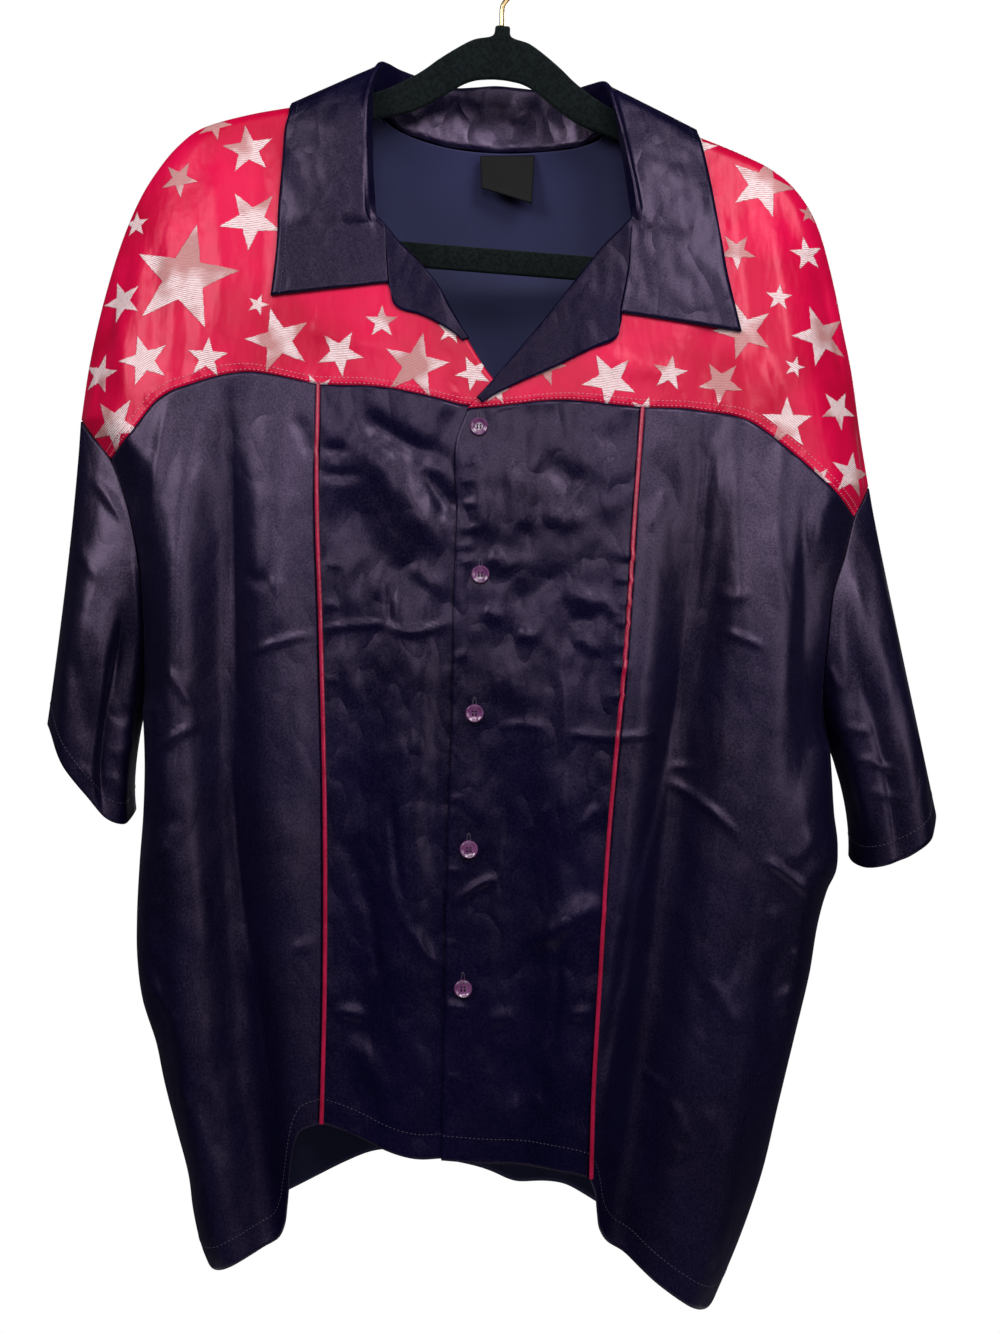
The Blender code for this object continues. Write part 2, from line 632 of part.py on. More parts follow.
def side_edge(side, face, hem_drop):
    """The body's outer edge from shoulder tip to hem: x, drop and y, and its normals."""
    arm = armhole_rows(side, face, -SEAM_GAP / 2)
    low = np.linspace(ARMHOLE[side]["drop"][-1], hem_drop, SKIRT_CELLS + 1)[1:]
    across = smooth(SIDE[side]["drop"], SIDE[side]["x"], low)
    _, normals = surface(across, low, face)
    skirt = np.stack([across + towards_centre(side) * SEAM_GAP / 2, low, 0 * low], axis=-1)
    return (np.concatenate([arm[:, :3], skirt]),
            np.concatenate([arm[:, 3:], flattened(normals)]))


def back_grid():
    down = np.concatenate([[0, 0.006, 0.018, 0.042, 0.08, 0.13, 0.185, 0.24, 0.295, 0.35],
                           np.linspace(0.35, 1, SKIRT_CELLS + 1)[1:]])
    right = rows_of(SHOULDER["right"], "x", "drop")[::-1]
    left = rows_of(SHOULDER["left"], "x", "drop")
    neck = rows_of(BACK_NECK, "x", "drop")
    top = np.concatenate([right, neck[1:-1], left])
    columns = len(top)
    across = np.linspace(-1, 1, columns)
    across = (1 + np.sign(across) * (1 - (1 - np.abs(across)) ** EDGE_CLUSTER)) / 2
    bottom = path(BACK_HEM, ("x", "drop"), across)
    edges = {"right": side_edge("right", "back", bottom[0, 1]),
             "left": side_edge("left", "back", bottom[-1, 1])}
    right, left = edges["right"][0][:, :2], edges["left"][0][:, :2]
    top, bottom = with_ends(top, right[0], left[0]), with_ends(bottom, right[-1], left[-1])
    plane = coons(top, bottom, right, left, across, down, fade=3)
    points, normals = surface(plane[..., 0], plane[..., 1], "back")
    last = SHOULDER_CELLS + 1
    points[0, :last, 1] = SEAM_GAP / 2
    points[0, -last:, 1] = SEAM_GAP / 2
    normals[0, :last] = shoulder_normals("right", "back")[::-1]
    normals[0, -last:] = shoulder_normals("left", "back")
    for column, side in ((0, "right"), (-1, "left")):
        edge, edge_normals = edges[side]
        points[:, column, 1] = np.maximum(edge[:, 2], SEAM_GAP / 2)
        normals[:, column] = edge_normals
    return points, normals


def grid_normals(points, closed):
    """Normals of a grid from its own neighbours; a closed grid's columns run round a tube."""
    down = np.gradient(points, axis=0)
    if closed:
        across = (np.roll(points, -1, axis=1) - np.roll(points, 1, axis=1)) / 2
    else:
        across = np.gradient(points, axis=1)
    normals = np.cross(across, down)
    return normals / np.linalg.norm(normals, axis=-1, keepdims=True)


def sleeve_grid(side):
    count = 2 * ARMHOLE_CELLS
    around = np.arange(count, dtype=float)
    rows = [ring_points(rows, around) for rows in (ARMHOLE[side], SLEEVE_MIDDLE[side], SLEEVE_HEM[side])]
    t = np.linspace(0, 1, SLEEVE_CELLS + 1)[:, None, None]
    plane = ((1 - t) * (1 - 2 * t) * rows[0] + 4 * t * (1 - t) * rows[1] + t * (2 * t - 1) * rows[2])
    points = np.stack([plane[..., 0], plane[..., 2], -plane[..., 1]], axis=-1)
    away = armhole_away(side)
    away = np.concatenate([away, away[-2:0:-1]]) * (SEAM_GAP / 2 + 0.15)
    points[0, :, 0] += away[:, 0]
    points[0, :, 2] -= away[:, 1]
    normals = grid_normals(points, closed=True)
    centre = points.mean(axis=1, keepdims=True)
    if np.sum(normals * (points - centre)) < 0:
        normals = -normals
    folds = SLEEVE_FOLDS[side]
    height = np.zeros(points.shape[:2])
    down = t[..., 0]
    for k in range(len(folds["around"])):
        apart = (around[None] - folds["around"][k] + count / 2) % count - count / 2
        share = np.clip((down - folds["top"][k]) / (folds["bottom"][k] - folds["top"][k]), 0, 1)
        fade = ease(share / 0.3) * ease((1 - share) / 0.3)
        height = height + folds["height"][k] * fade * np.exp(-(apart / folds["reach"][k]) ** 2)
    points = points + normals * height[..., None]
    front = armhole_rows(side, "front", 0)[:, 3:]
    back = armhole_rows(side, "back", 0)[-2:0:-1, 3:]
    seam = np.concatenate([front, back])
    from_underarm = np.abs(around - ARMHOLE_CELLS)[:, None]
    share = np.clip(from_underarm / 3, 0, 1) ** 2
    seam = seam * share + normals[0] * (1 - share)
    normals[0] = seam / np.linalg.norm(seam, axis=-1, keepdims=True)
    return points, normals


def neckline():
    """The neck opening's edge, right front over the back to left front.

    Each row holds x, y, drop, and a direction of x, y, drop that leads into the opening.
    """
    lines, ways = [], []
    for side in ("right", "back", "left"):
        plane = rows_of(BACK_NECK if side == "back" else V_EDGE[side], "x", "drop")
        if side == "right":
            plane = plane[::-1]
        points = surface(plane[:, 0], plane[:, 1], "back")[0] if side == "back" else (
            front_points(side, plane)[0])
        points[:, 2] *= -1
        along = np.gradient(plane, axis=0) * (-1 if side == "back" else 1)
        way = np.stack([-along[:, 1], 0 * along[:, 0], along[:, 0]], axis=-1)
        if side == "back":
            points, way = points[1:-1], way[1:-1]
        else:
            neck = -1 if side == "right" else 0
            way[neck] = (towards_centre(side), 0, 0)
        lines.append(points)
        ways.append(way / np.linalg.norm(way, axis=-1, keepdims=True))
    return np.concatenate(lines), np.concatenate(ways)


def clear_of_shirt(points, lift):
    """Points moved out until they stand a little off the front or the back."""
    moved = points.copy()
    front = np.minimum(points[:, 1], -depth(points[:, 0], -points[:, 2], "front", lift))
    back = np.maximum(points[:, 1], depth(points[:, 0], -points[:, 2], "back", lift))
    moved[:, 1] = np.where(points[:, 1] > 0, back, front)
    return moved


def collar_grid():
    """The collar's face: up the band from the neck seam, over the roll and down the leaf."""
    count = len(COLLAR["band"])
    where = np.concatenate([[k, k + 0.5] for k in range(count - 1)] + [[count - 1]])
    row = {name: smooth(np.arange(count, dtype=float), values, where)
           for name, values in COLLAR.items()}
    band = np.clip(row["band"], 0, 1)[:, None]
    lift = WALL + LAY_ON
    line, inward = neckline()
    at = np.interp(where, np.arange(count), COLLAR["neck"])
    place, into = [np.stack([np.interp(at, np.arange(len(line)), found[:, k]) for k in range(3)], axis=-1)
                   for found in (line, inward)]
    upright = np.where(place[:, 1] > 1, np.clip(-into[:, 2], 0, 1), 0)[:, None]
    place = place + into * (WALL + 0.8 - 1.4 * upright)
    place[:, 1] -= WALL * upright[:, 0]
    seam = place * np.array([1, 1, -1])
    gorge, _ = surface(row["gorge_x"], row["gorge_drop"], "front", lift)
    seam = gorge + (seam - gorge) * band
    roll = np.stack([row["roll_x"], row["roll_y"], -row["roll_drop"]], axis=-1)
    edge = clear_of_shirt(np.stack([row["edge_x"], row["edge_y"], -row["edge_drop"]], axis=-1), lift)
    along = np.gradient(roll, axis=0)
    out = np.stack([-along[:, 1], along[:, 0], 0 * along[:, 0]], axis=-1)
    out /= np.linalg.norm(out, axis=-1, keepdims=True)
    under = np.array([0, 0, -ROLL_DEPTH])
    folded = [seam, None, roll + under - out * ROLL_HALF_WIDTH, roll, roll + under + out * ROLL_HALF_WIDTH]
    folded[1] = (folded[0] + folded[2]) / 2
    rows = []
    for number, point in enumerate(folded):
        flat = seam + (edge - seam) * 0.04 * number
        rows.append(flat + (point - flat) * band)
    fold = rows[-1]
    for share in (0.25, 0.5, 0.75, 1.0):
        point = fold + (edge - fold) * share
        bow = 2.0 * math.sin(math.pi * share) * band[:, 0]
        point[:, 1] += bow * np.clip(row["roll_y"] / 8, -1, 1)
        rows.append(clear_of_shirt(point, lift))
    points = np.stack(rows, axis=0)
    return points, grid_normals(points, closed=False)


def lapel_grid(side):
    rows = LAPEL[side]
    count = 2 * (len(rows["neck_x"]) - 1)
    where = np.linspace(0, len(rows["neck_x"]) - 1, count + 1)
    neck = stations(rows, ("neck_x", "neck_drop"), where)
    outer = stations(rows, ("outer_x", "outer_drop"), where)
    share = np.linspace(0, 1, LAPEL_CELLS + 1)[None, :, None]
    plane = neck[:, None] + (outer - neck)[:, None] * share
    points, normals = front_points(side, plane)
    return points + normals * (WALL + LAY_ON), normals


# ---------------------------------------------------------------- solids

def material(spec):
    name, colour, roughness, metallic = spec
    found = bpy.data.materials.get(name)
    if found is None:
        found = bpy.data.materials.new(name)
        found.use_nodes = True
        shader = found.node_tree.nodes["Principled BSDF"]
        shader.inputs["Base Color"].default_value = colour
        shader.inputs["Roughness"].default_value = roughness
        shader.inputs["Metallic"].default_value = metallic
    return found


def add_object(name, mesh, spec):
    obj = bpy.data.objects.new(name, mesh)
    mesh.materials.append(material(spec))
    bpy.context.scene.collection.objects.link(obj)
    return obj


def mesh_from(name, bm):
    """The finished mesh, closed and facing out."""
    bmesh.ops.recalc_face_normals(bm, faces=bm.faces)
    mesh = bpy.data.meshes.new(name)
    bm.to_mesh(mesh)
    bm.free()
    mesh.shade_smooth()
    mesh.set_sharp_from_angle(angle=math.radians(50))
    return mesh


def wall(name, points, normals, thickness, spec, closed=False):
    """A piece of cloth: its outer grid, the same grid moved in, and a rim along each edge."""
    bm = bmesh.new()
    rows, columns = points.shape[:2]
    sheets = []
    for sheet in (points, points - normals * thickness):
        sheets.append([[bm.verts.new(Vector(p) * MM) for p in row] for row in sheet.tolist()])
    outer, inner = sheets
    around = columns if closed else columns - 1
    for j in range(rows - 1):
        for i in range(around):
            k = (i + 1) % columns
            bm.faces.new((outer[j][i], outer[j][k], outer[j + 1][k], outer[j + 1][i]))
            bm.faces.new((inner[j][i], inner[j + 1][i], inner[j + 1][k], inner[j][k]))
    for j in (0, rows - 1):
        for i in range(around):
            k = (i + 1) % columns
            bm.faces.new((outer[j][i], inner[j][i], inner[j][k], outer[j][k]))
    if not closed:
        for i in (0, columns - 1):
            for j in range(rows - 1):
                bm.faces.new((outer[j][i], outer[j + 1][i], inner[j + 1][i], inner[j][i]))
    return add_object(name, mesh_from(name, bm), spec)


def tube(name, route, radius, spec, resolution):
    """A round wire or cord through the route's points, with closed ends."""
    curve = bpy.data.curves.new(name, "CURVE")
    curve.dimensions = "3D"
    curve.bevel_depth = radius * MM
    curve.bevel_resolution = resolution
    curve.use_fill_caps = True
    spline = curve.splines.new("POLY")
    spline.points.add(len(route) - 1)
    for point, place in zip(spline.points, route):
        point.co = (*(Vector(place) * MM), 1)
    obj = bpy.data.objects.new(name, curve)
    curve.materials.append(material(spec))
    bpy.context.scene.collection.objects.link(obj)
    return obj


def make_piping(side):
    """A cord over the seam between a front's two panels."""
    centre, normals = front_centre_grid(side)
    outer, _ = front_side_grid(side)
    seam = (centre[:, -1] + outer[:, 0]) / 2
    route = seam + normals[:, -1] * (PIPING_RADIUS + SEAM_GAP)
    tube(f"piping_{side}", route.tolist(), PIPING_RADIUS, PIPING_RED, 1)


def turned(bm, profile, segments):
    """A profile of radius and height, spun once about Z and closed."""
    verts = [bm.verts.new((radius * MM, 0, height * MM)) for radius, height in profile]
    edges = [bm.edges.new(pair) for pair in zip(verts, verts[1:])]
    bmesh.ops.spin(bm, geom=verts + edges, cent=(0, 0, 0), axis=(0, 0, 1), angle=math.tau,
                   steps=segments, use_merge=True)
    bmesh.ops.remove_doubles(bm, verts=bm.verts, dist=1e-6)


def make_button(number, x, drop):
    """A round button with a raised rim and four holes, flat on the buttonhole edge."""
    place, normal = surface(np.array([x]), np.array([drop]), "front")
    centre = Vector(place[0] + normal[0] * SEAM_GAP) * MM
    facing = Vector(normal[0]).to_track_quat("Z", "Y").to_matrix().to_4x4()
    turn = Matrix.Translation(centre) @ facing
    radius, height = BUTTON_RADIUS, BUTTON_HEIGHT
    profile = ((0, 0), (0.9 * radius, 0), (radius, 0.55 * height), (0.86 * radius, height),
               (0.7 * radius, 0.7 * height), (0, 0.62 * height))
    bm = bmesh.new()
    turned(bm, profile, 14)
    mesh = mesh_from(f"button_{number}", bm)
    button = add_object(f"button_{number}", mesh, BUTTON_PLUM)
    bm = bmesh.new()
    for turned_by in range(4):
        angle = math.radians(45 + 90 * turned_by)
        reach = BUTTON_HOLE_PITCH * MM
        bmesh.ops.create_cone(
            bm, cap_ends=True, segments=5, radius1=BUTTON_HOLE_RADIUS * MM,
            radius2=BUTTON_HOLE_RADIUS * MM, depth=3 * height * MM,
            matrix=Matrix.Translation((reach * math.cos(angle), reach * math.sin(angle), 0)))
    cutter = add_object(f"button_holes_{number}", mesh_from(f"button_holes_{number}", bm), BUTTON_PLUM)
    cutter.hide_render = True
    cutter.display_type = "WIRE"
    cutter.matrix_world = turn
    button.matrix_world = turn
    holes = button.modifiers.new("thread holes", "BOOLEAN")
    holes.operation = "DIFFERENCE"
    holes.object = cutter


def make_label():
    """A bare woven tab that hangs from the back neck seam, inside."""
    corners = np.stack([LABEL["x"], LABEL["y"], -LABEL["drop"]], axis=-1)
    across = np.linspace(0, 1, 5)
    down = np.linspace(0, 1, 4)
    top = corners[0] + (corners[1] - corners[0]) * across[:, None]
    bottom = corners[2] + (corners[3] - corners[2]) * across[:, None]
    points = top[None] + (bottom - top)[None] * down[:, None, None]
    normals = np.broadcast_to(np.array([0.0, -1.0, 0.0]), points.shape)
    wall("neck_label", points, normals, LABEL_WALL, LABEL_BLACK)


def hanger_loops():
    """The hanger's outer and inner outlines, crown to bar and back, tilted as it hangs."""
    loops = []
    for ring in ("outer", "inner"):
        x, drop = HANGER[f"{ring}_x"], HANGER[f"{ring}_drop"]
        half = np.stack([x, drop], axis=-1)
        mirrored = half[-2:0:-1] * np.array([-1, 1])
        loop = np.concatenate([half, mirrored])
        cos, sin = math.cos(HANGER_TILT), math.sin(HANGER_TILT)
        across = loop[:, 0] * cos - loop[:, 1] * sin
        down = loop[:, 0] * sin + loop[:, 1] * cos + HANGER_CROWN_DROP
        loops.append(np.stack([across, down], axis=-1))
    return loops


def make_hanger():
    """Arch, arms and trouser bar in one moulding, with softened edges."""
    bm = bmesh.new()
    rings = []
    for loop in hanger_loops():
        verts = [bm.verts.new((x * MM, -HANGER_THICKNESS / 2 * MM, -drop * MM)) for x, drop in loop]
        rings.append(verts)
    outer, inner = rings
    count = len(outer)
    faces = [bm.faces.new((outer[i], outer[(i + 1) % count], inner[(i + 1) % count], inner[i]))
             for i in range(count)]
    made = bmesh.ops.extrude_face_region(bm, geom=faces)
    moved = [item for item in made["geom"] if isinstance(item, bmesh.types.BMVert)]
    bmesh.ops.translate(bm, verts=moved, vec=(0, HANGER_THICKNESS * MM, 0))
    bmesh.ops.recalc_face_normals(bm, faces=bm.faces)
    rims = [edge for edge in bm.edges if edge.calc_face_angle(0) > math.radians(60)]
    bmesh.ops.bevel(bm, geom=rims, offset=HANGER_EDGE * MM, offset_type="OFFSET", segments=1,
                    profile=0.5, affect="EDGES", material=-1)
    add_object("hanger_body", mesh_from("hanger_body", bm), FLOCK)


def make_hook():
    """A wire stem that sweeps into three quarters of a circle round the rail."""
    centre = -(HOOK_RADIUS - WIRE_RADIUS)
    stem = [(0, 0, -STEM_FOOT_DROP), (0, 0, -52), (0.6, 0, -46), (4.5, 0, -40.5)]
    arc = []
    for degrees in range(-48, 211, 14):
        angle = math.radians(degrees)
        arc.append((HOOK_RADIUS * math.cos(angle), 0, centre + HOOK_RADIUS * math.sin(angle)))
    tube("hanger_hook", stem + arc, WIRE_RADIUS, BRASS, 2)


def main():
    for obj in list(bpy.data.objects):
        bpy.data.objects.remove(obj, do_unlink=True)
    wall("back", *back_grid(), WALL, CLOTH_SATIN)
    for side in ("right", "left"):
        wall(f"front_{side}_centre", *front_centre_grid(side), WALL, CLOTH_SATIN)
        wall(f"front_{side}_side", *front_side_grid(side), WALL, CLOTH_SATIN)
        wall(f"yoke_{side}", *yoke_grid(side), WALL, CLOTH_STARS)
        wall(f"sleeve_{side}", *sleeve_grid(side), WALL, CLOTH_SATIN, closed=True)
        wall(f"lapel_{side}", *lapel_grid(side), WALL, CLOTH_SATIN)
        make_piping(side)
    wall("collar", *collar_grid(), WALL, CLOTH_SATIN)
    for number, (x, drop) in enumerate(zip(BUTTONS["x"], BUTTONS["drop"]), start=1):
        make_button(number, x, drop)
    make_label()
    make_hanger()
    make_hook()


main()
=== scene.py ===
"""The looks of a bowling shirt on its hanger: satin, star brocade, stitches, trim and light.

The pieces follow the same tables as the solids. All tables are in millimetres: x is sideways,
drop is how far a point hangs below the origin, and a depth is how far the cloth stands out from
the hanger's plane. A height above 0 is a ridge, and one below 0 a valley.
"""

import json
import math

import bmesh
import bpy
import numpy as np
from mathutils import Matrix, Vector

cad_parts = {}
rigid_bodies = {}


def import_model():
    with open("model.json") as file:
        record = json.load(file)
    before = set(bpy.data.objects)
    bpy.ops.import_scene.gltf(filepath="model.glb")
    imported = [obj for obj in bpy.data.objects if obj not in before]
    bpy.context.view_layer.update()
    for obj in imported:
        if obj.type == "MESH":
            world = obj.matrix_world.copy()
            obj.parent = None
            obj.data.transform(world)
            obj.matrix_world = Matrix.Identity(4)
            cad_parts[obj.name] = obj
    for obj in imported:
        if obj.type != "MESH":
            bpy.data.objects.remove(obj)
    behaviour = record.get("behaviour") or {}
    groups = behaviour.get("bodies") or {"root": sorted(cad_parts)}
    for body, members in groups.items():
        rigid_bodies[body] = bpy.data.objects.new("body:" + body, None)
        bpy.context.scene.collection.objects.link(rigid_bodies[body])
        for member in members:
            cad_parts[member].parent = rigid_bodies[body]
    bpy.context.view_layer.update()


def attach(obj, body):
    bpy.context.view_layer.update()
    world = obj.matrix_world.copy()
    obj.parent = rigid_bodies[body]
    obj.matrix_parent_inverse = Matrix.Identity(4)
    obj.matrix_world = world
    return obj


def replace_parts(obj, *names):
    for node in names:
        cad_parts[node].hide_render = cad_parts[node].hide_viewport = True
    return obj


MM = 0.001

# Cloth and seams
WALL = 1.2
LABEL_WALL = 0.8
SEAM_GAP = 0.4
CLOSED_GAP = 0.06
SLEEVE_SEAM_GAP = 0.35
LAY_ON = 1.0
LAP_STEP = WALL + 1.1
LAP_BLEND = 18.0
LAP_BEFORE_EDGE = 4.0
LAP_WIDTH = 34.0

# Trim and hanger
PIPING_RADIUS = 1.5
BUTTON_RADIUS = 6.35
BUTTON_HEIGHT = 2.6
BUTTON_HOLE_RADIUS = 0.75
BUTTON_HOLE_PITCH = 1.6
BUTTON_THREAD_RADIUS = 0.42
BUTTON_THREAD_APART = 2.26
BUTTON_THREAD_LENGTH = 3.0
BUTTON_FACE = 0.63 * BUTTON_HEIGHT
BUTTONHOLE_SIZE = (1.15, 7.4)
BUTTONHOLE_RISE = 3.6
HANGER_THICKNESS = 5.5
HANGER_ROUND = 1.9
HANGER_TILT = math.radians(4.56)
HANGER_CROWN_DROP = 69.1
WIRE_RADIUS = 1.8
HOOK_RADIUS = 20.0
STEM_FOOT_DROP = 60.2

# Cells of the panels' coarse layout, and the size of a fine cell
CENTRE_CELLS = 8
SIDE_CELLS = 14
SHOULDER_CELLS = 10
ARMHOLE_CELLS = 9
YOKE_EDGE_CELLS = 2
SKIRT_CELLS = 12
EDGE_CLUSTER = 1.35
YOKE_ROWS = np.array([0, 0.012, 0.035, 0.08, 0.16, 0.28, 0.42, 0.52, 0.64, 0.76, 0.88, 1.0])
FRONT_ROWS = np.concatenate([np.linspace(0, 0.35, 8), np.linspace(0.35, 1, SKIRT_CELLS + 1)[1:]])
BACK_ROWS = np.concatenate([[0, 0.006, 0.018, 0.042, 0.08, 0.13, 0.185, 0.24, 0.295, 0.35],
                            np.linspace(0.35, 1, SKIRT_CELLS + 1)[1:]])
FINE_CELL = 2.5
BACK_CELL = 3.2
BACK_EVENING = 16
SLEEVE_ROWS = 80
SLEEVE_FINE = 8
SLEEVE_SEAM_FADE = 9
SLEEVE_CREASE_FADE = 14

# How the surface is read: the step for its slopes, and how far the crest's kink is spread across
# and, from a drop below it, downwards
SLOPE_STEP = 0.5
CREST_SPAN = (-24, -16, -8, 8, 16, 24)
CREST_SOFT_FROM = 12
CREST_SOFT_OVER = 40

# How wide the cloth rounds off at its edges: little near the neck, and more from a certain x and
# from a certain drop on, each over a blend
NECK_ROUNDING = 9
EDGE_ROUNDING = 32
ARM_FROM = 185
ARM_BLEND = 100
CHEST_FROM = 250
CHEST_BLEND = 150
THICK_EDGE = 15

# Shares of a fold's or crease's length over which it fades out, and the parts a crease is read in
FOLD_FADE = 0.22
CREASE_FADE = 0.3
CREASE_STEPS = 8


def table(columns, *rows):
    """Named columns of numbers, one row for each section, fold or station."""
    return {name: np.array(values, float) for name, values in zip(columns.split(), zip(*rows))}


# The shoulder lines, from the neck over the hanger to the tip of the drop shoulder
SHOULDER = {
    "right": table(
        "x drop",
        (-94, 106.5), (-138, 116.8), (-180, 124.2), (-214, 133.5), (-231, 145), (-246, 162),
        (-261, 186), (-275, 220), (-288, 264), (-297, 305), (-303, 345),
    ),
    "left": table(
        "x drop",
        (81, 116.5), (125, 134), (171, 152.5), (197, 166), (215, 183), (228, 207), (238, 243),
        (245, 277), (252, 312), (258, 356), (264, 393),
    ),
}

# Where the cloth stands at a distance below the shoulder line
SPREAD = table(
    "below front back",
    (0, 9, 10), (20, 13, 15), (50, 22, 24), (100, 34, 34), (160, 44, 41), (240, 52, 46),
    (360, 58, 50), (520, 61, 52), (680, 63, 54), (860, 66, 56),
)

# Armholes, top fold to underarm: the first two cells edge the yoke
ARMHOLE = {
    "right": table(
        "x drop front back",
        (-303, 345, 0, 0), (-293, 357, 11, 11), (-278, 374, 20, 20), (-267, 400, 28, 27),
        (-260, 425, 34, 31), (-255, 450, 36, 33), (-253, 480, 34, 33), (-253, 508, 28, 27),
        (-255, 533, 17, 16), (-257, 551, 0, 0),
    ),
    "left": table(
        "x drop front back",
        (264, 393, 0, 0), (258, 404, 9, 9), (251, 415, 17, 17), (242, 443, 30, 28),
        (233, 469, 37, 33), (229, 500, 38, 34), (227, 526, 33, 30), (228, 549, 23, 21),
        (232, 567, 11, 11), (235, 578, 0, 0),
    ),
}

# The same stations half way down each sleeve and at its hem; the back hem rises
SLEEVE_MIDDLE = {
    "right": table(
        "x drop front back rise",
        (-313, 455, 0, 0, 0), (-309, 461, 16, 15, 0), (-302, 474, 29, 27, 0),
        (-293, 492, 38, 36, 0), (-285, 514, 43, 41, 0), (-277, 536, 43, 41, 0),
        (-271, 556, 38, 36, 0), (-267, 574, 29, 27, 0), (-265, 586, 16, 15, 0),
        (-264.5, 591, 0, 0, 0),
    ),
    "left": table(
        "x drop front back rise",
        (283, 490, 0, 0, 0), (281, 498, 15, 14, 0), (277, 511, 28, 26, 0), (271, 529, 38, 36, 0),
        (265, 549, 42, 40, 0), (259, 569, 42, 40, 0), (254, 588, 36, 34, 0), (250, 604, 26, 24, 0),
        (247.5, 615, 13, 12, 0), (247, 620, 0, 0, 0),
    ),
}
SLEEVE_HEM = {
    "right": table(
        "x drop front back rise",
        (-327, 562, 0, 0, 0), (-322, 567, 17, 16, 4), (-314, 578, 30, 28, 10),
        (-304, 593, 38, 36, 18), (-294, 608, 41, 40, 24), (-285, 620, 40, 40, 26),
        (-277, 629, 36, 36, 24), (-271, 633, 28, 28, 17), (-266, 631, 15, 15, 8),
        (-264, 626, 0, 0, 0),
    ),
    "left": table(
        "x drop front back rise",
        (312, 626, 0, 0, 0), (309, 632, 15, 14, 4), (302, 641, 27, 26, 9), (293, 649, 36, 35, 15),
        (284, 656, 40, 40, 20), (274, 660, 40, 40, 22), (264, 663, 34, 34, 20),
        (257, 664, 24, 24, 14), (251.5, 662, 12, 12, 6), (250, 659, 0, 0, 0),
    ),
}

# Side folds of the body below the underarm
SIDE = {
    "right": table(
        "drop x",
        (551, -257), (589, -255.5), (627, -256.5), (660, -259), (700, -261), (723, -261),
        (757, -257), (789, -247), (814, -242), (849, -233), (883, -224), (906, -221),
        (930, -215), (950, -206),
    ),
    "left": table(
        "drop x",
        (578, 235), (600, 236.5), (627, 238), (650, 241), (664, 241), (678, 234), (695, 228.5),
        (741, 220), (783, 210), (833, 198), (883, 186), (934, 168), (970, 152),
    ),
}

# Necklines of the two yokes, from the side of the neck down to the top button, one row for each
# row of the yoke's grid, and the back's neckline between them
V_EDGE = {
    "right": table(
        "x drop",
        (-94, 106.5), (-94, 107.6), (-94, 111), (-94, 118), (-94, 133), (-93, 168), (-90, 204),
        (-73, 224), (-46, 253), (-29, 284), (-12.5, 312), (8, 339),
    ),
    "left": table(
        "x drop",
        (81, 116.5), (81.2, 117.6), (81.8, 121), (83, 128), (85, 143), (89, 172), (92.5, 206),
        (78, 221), (53, 252), (27.5, 284), (0.5, 315), (-24, 342),
    ),
}
BACK_NECK = table(
    "x drop",
    (-94, 106.5), (-89, 120), (-72, 132), (-42, 140.5), (-6, 144), (30, 144), (58, 141.5),
    (75, 134), (81, 116.5),
)

# Lower seams of the yokes, front edge to armhole
YOKE_SEAM = {
    "right": table(
        "x drop",
        (8, 339), (-19, 340), (-39, 336), (-83, 327), (-127, 325), (-150, 320), (-174, 316),
        (-195, 318), (-216, 324), (-235, 331), (-247, 342), (-263, 362), (-278, 374),
    ),
    "left": table(
        "x drop",
        (-24, 342), (-1, 340), (43, 336), (96, 341), (132, 342), (165, 348), (188, 361),
        (221, 388), (251, 415),
    ),
}

PIPING = {
    "right": table(
        "drop x",
        (325, -128), (406, -129), (503, -126), (649, -123), (726, -123), (845, -125),
    ),
    "left": table(
        "drop x",
        (341, 98), (406, 93), (506, 86), (649, 73), (726, 68), (821, 62), (880, 60),
    ),
}
PLACKET = table(
    "drop x",
    (342, -24), (348, -27), (424, -32), (473, -34), (546, -35), (642, -38), (759, -40), (870, -42),
)

# Hems, from the front edge to the side fold
FRONT_HEM = {
    "right": table(
        "x drop",
        (-8, 861), (-42, 861), (-54, 861), (-76, 856), (-91, 850), (-109, 842), (-125, 836),
        (-138, 840), (-145, 858), (-149, 893), (-153, 915), (-160, 922), (-171, 927), (-189, 935),
        (-200, 939), (-208, 939), (-213.6, 935),
    ),
    "left": table(
        "x drop",
        (-42, 862), (-1, 866), (40, 868), (60, 873), (65, 886), (68, 911), (75, 924), (86, 930),
        (108, 946), (132, 961), (146, 967), (154.6, 963),
    ),
}
BACK_HEM = table(
    "x drop",
    (-213.6, 935), (-203, 934), (-183, 926), (-158, 910), (-141, 900), (-112, 890), (-82, 882),
    (-46, 886), (-1, 903), (17, 911), (27, 904), (46, 904), (69, 921), (103, 944), (138, 960),
    (154.6, 963),
)

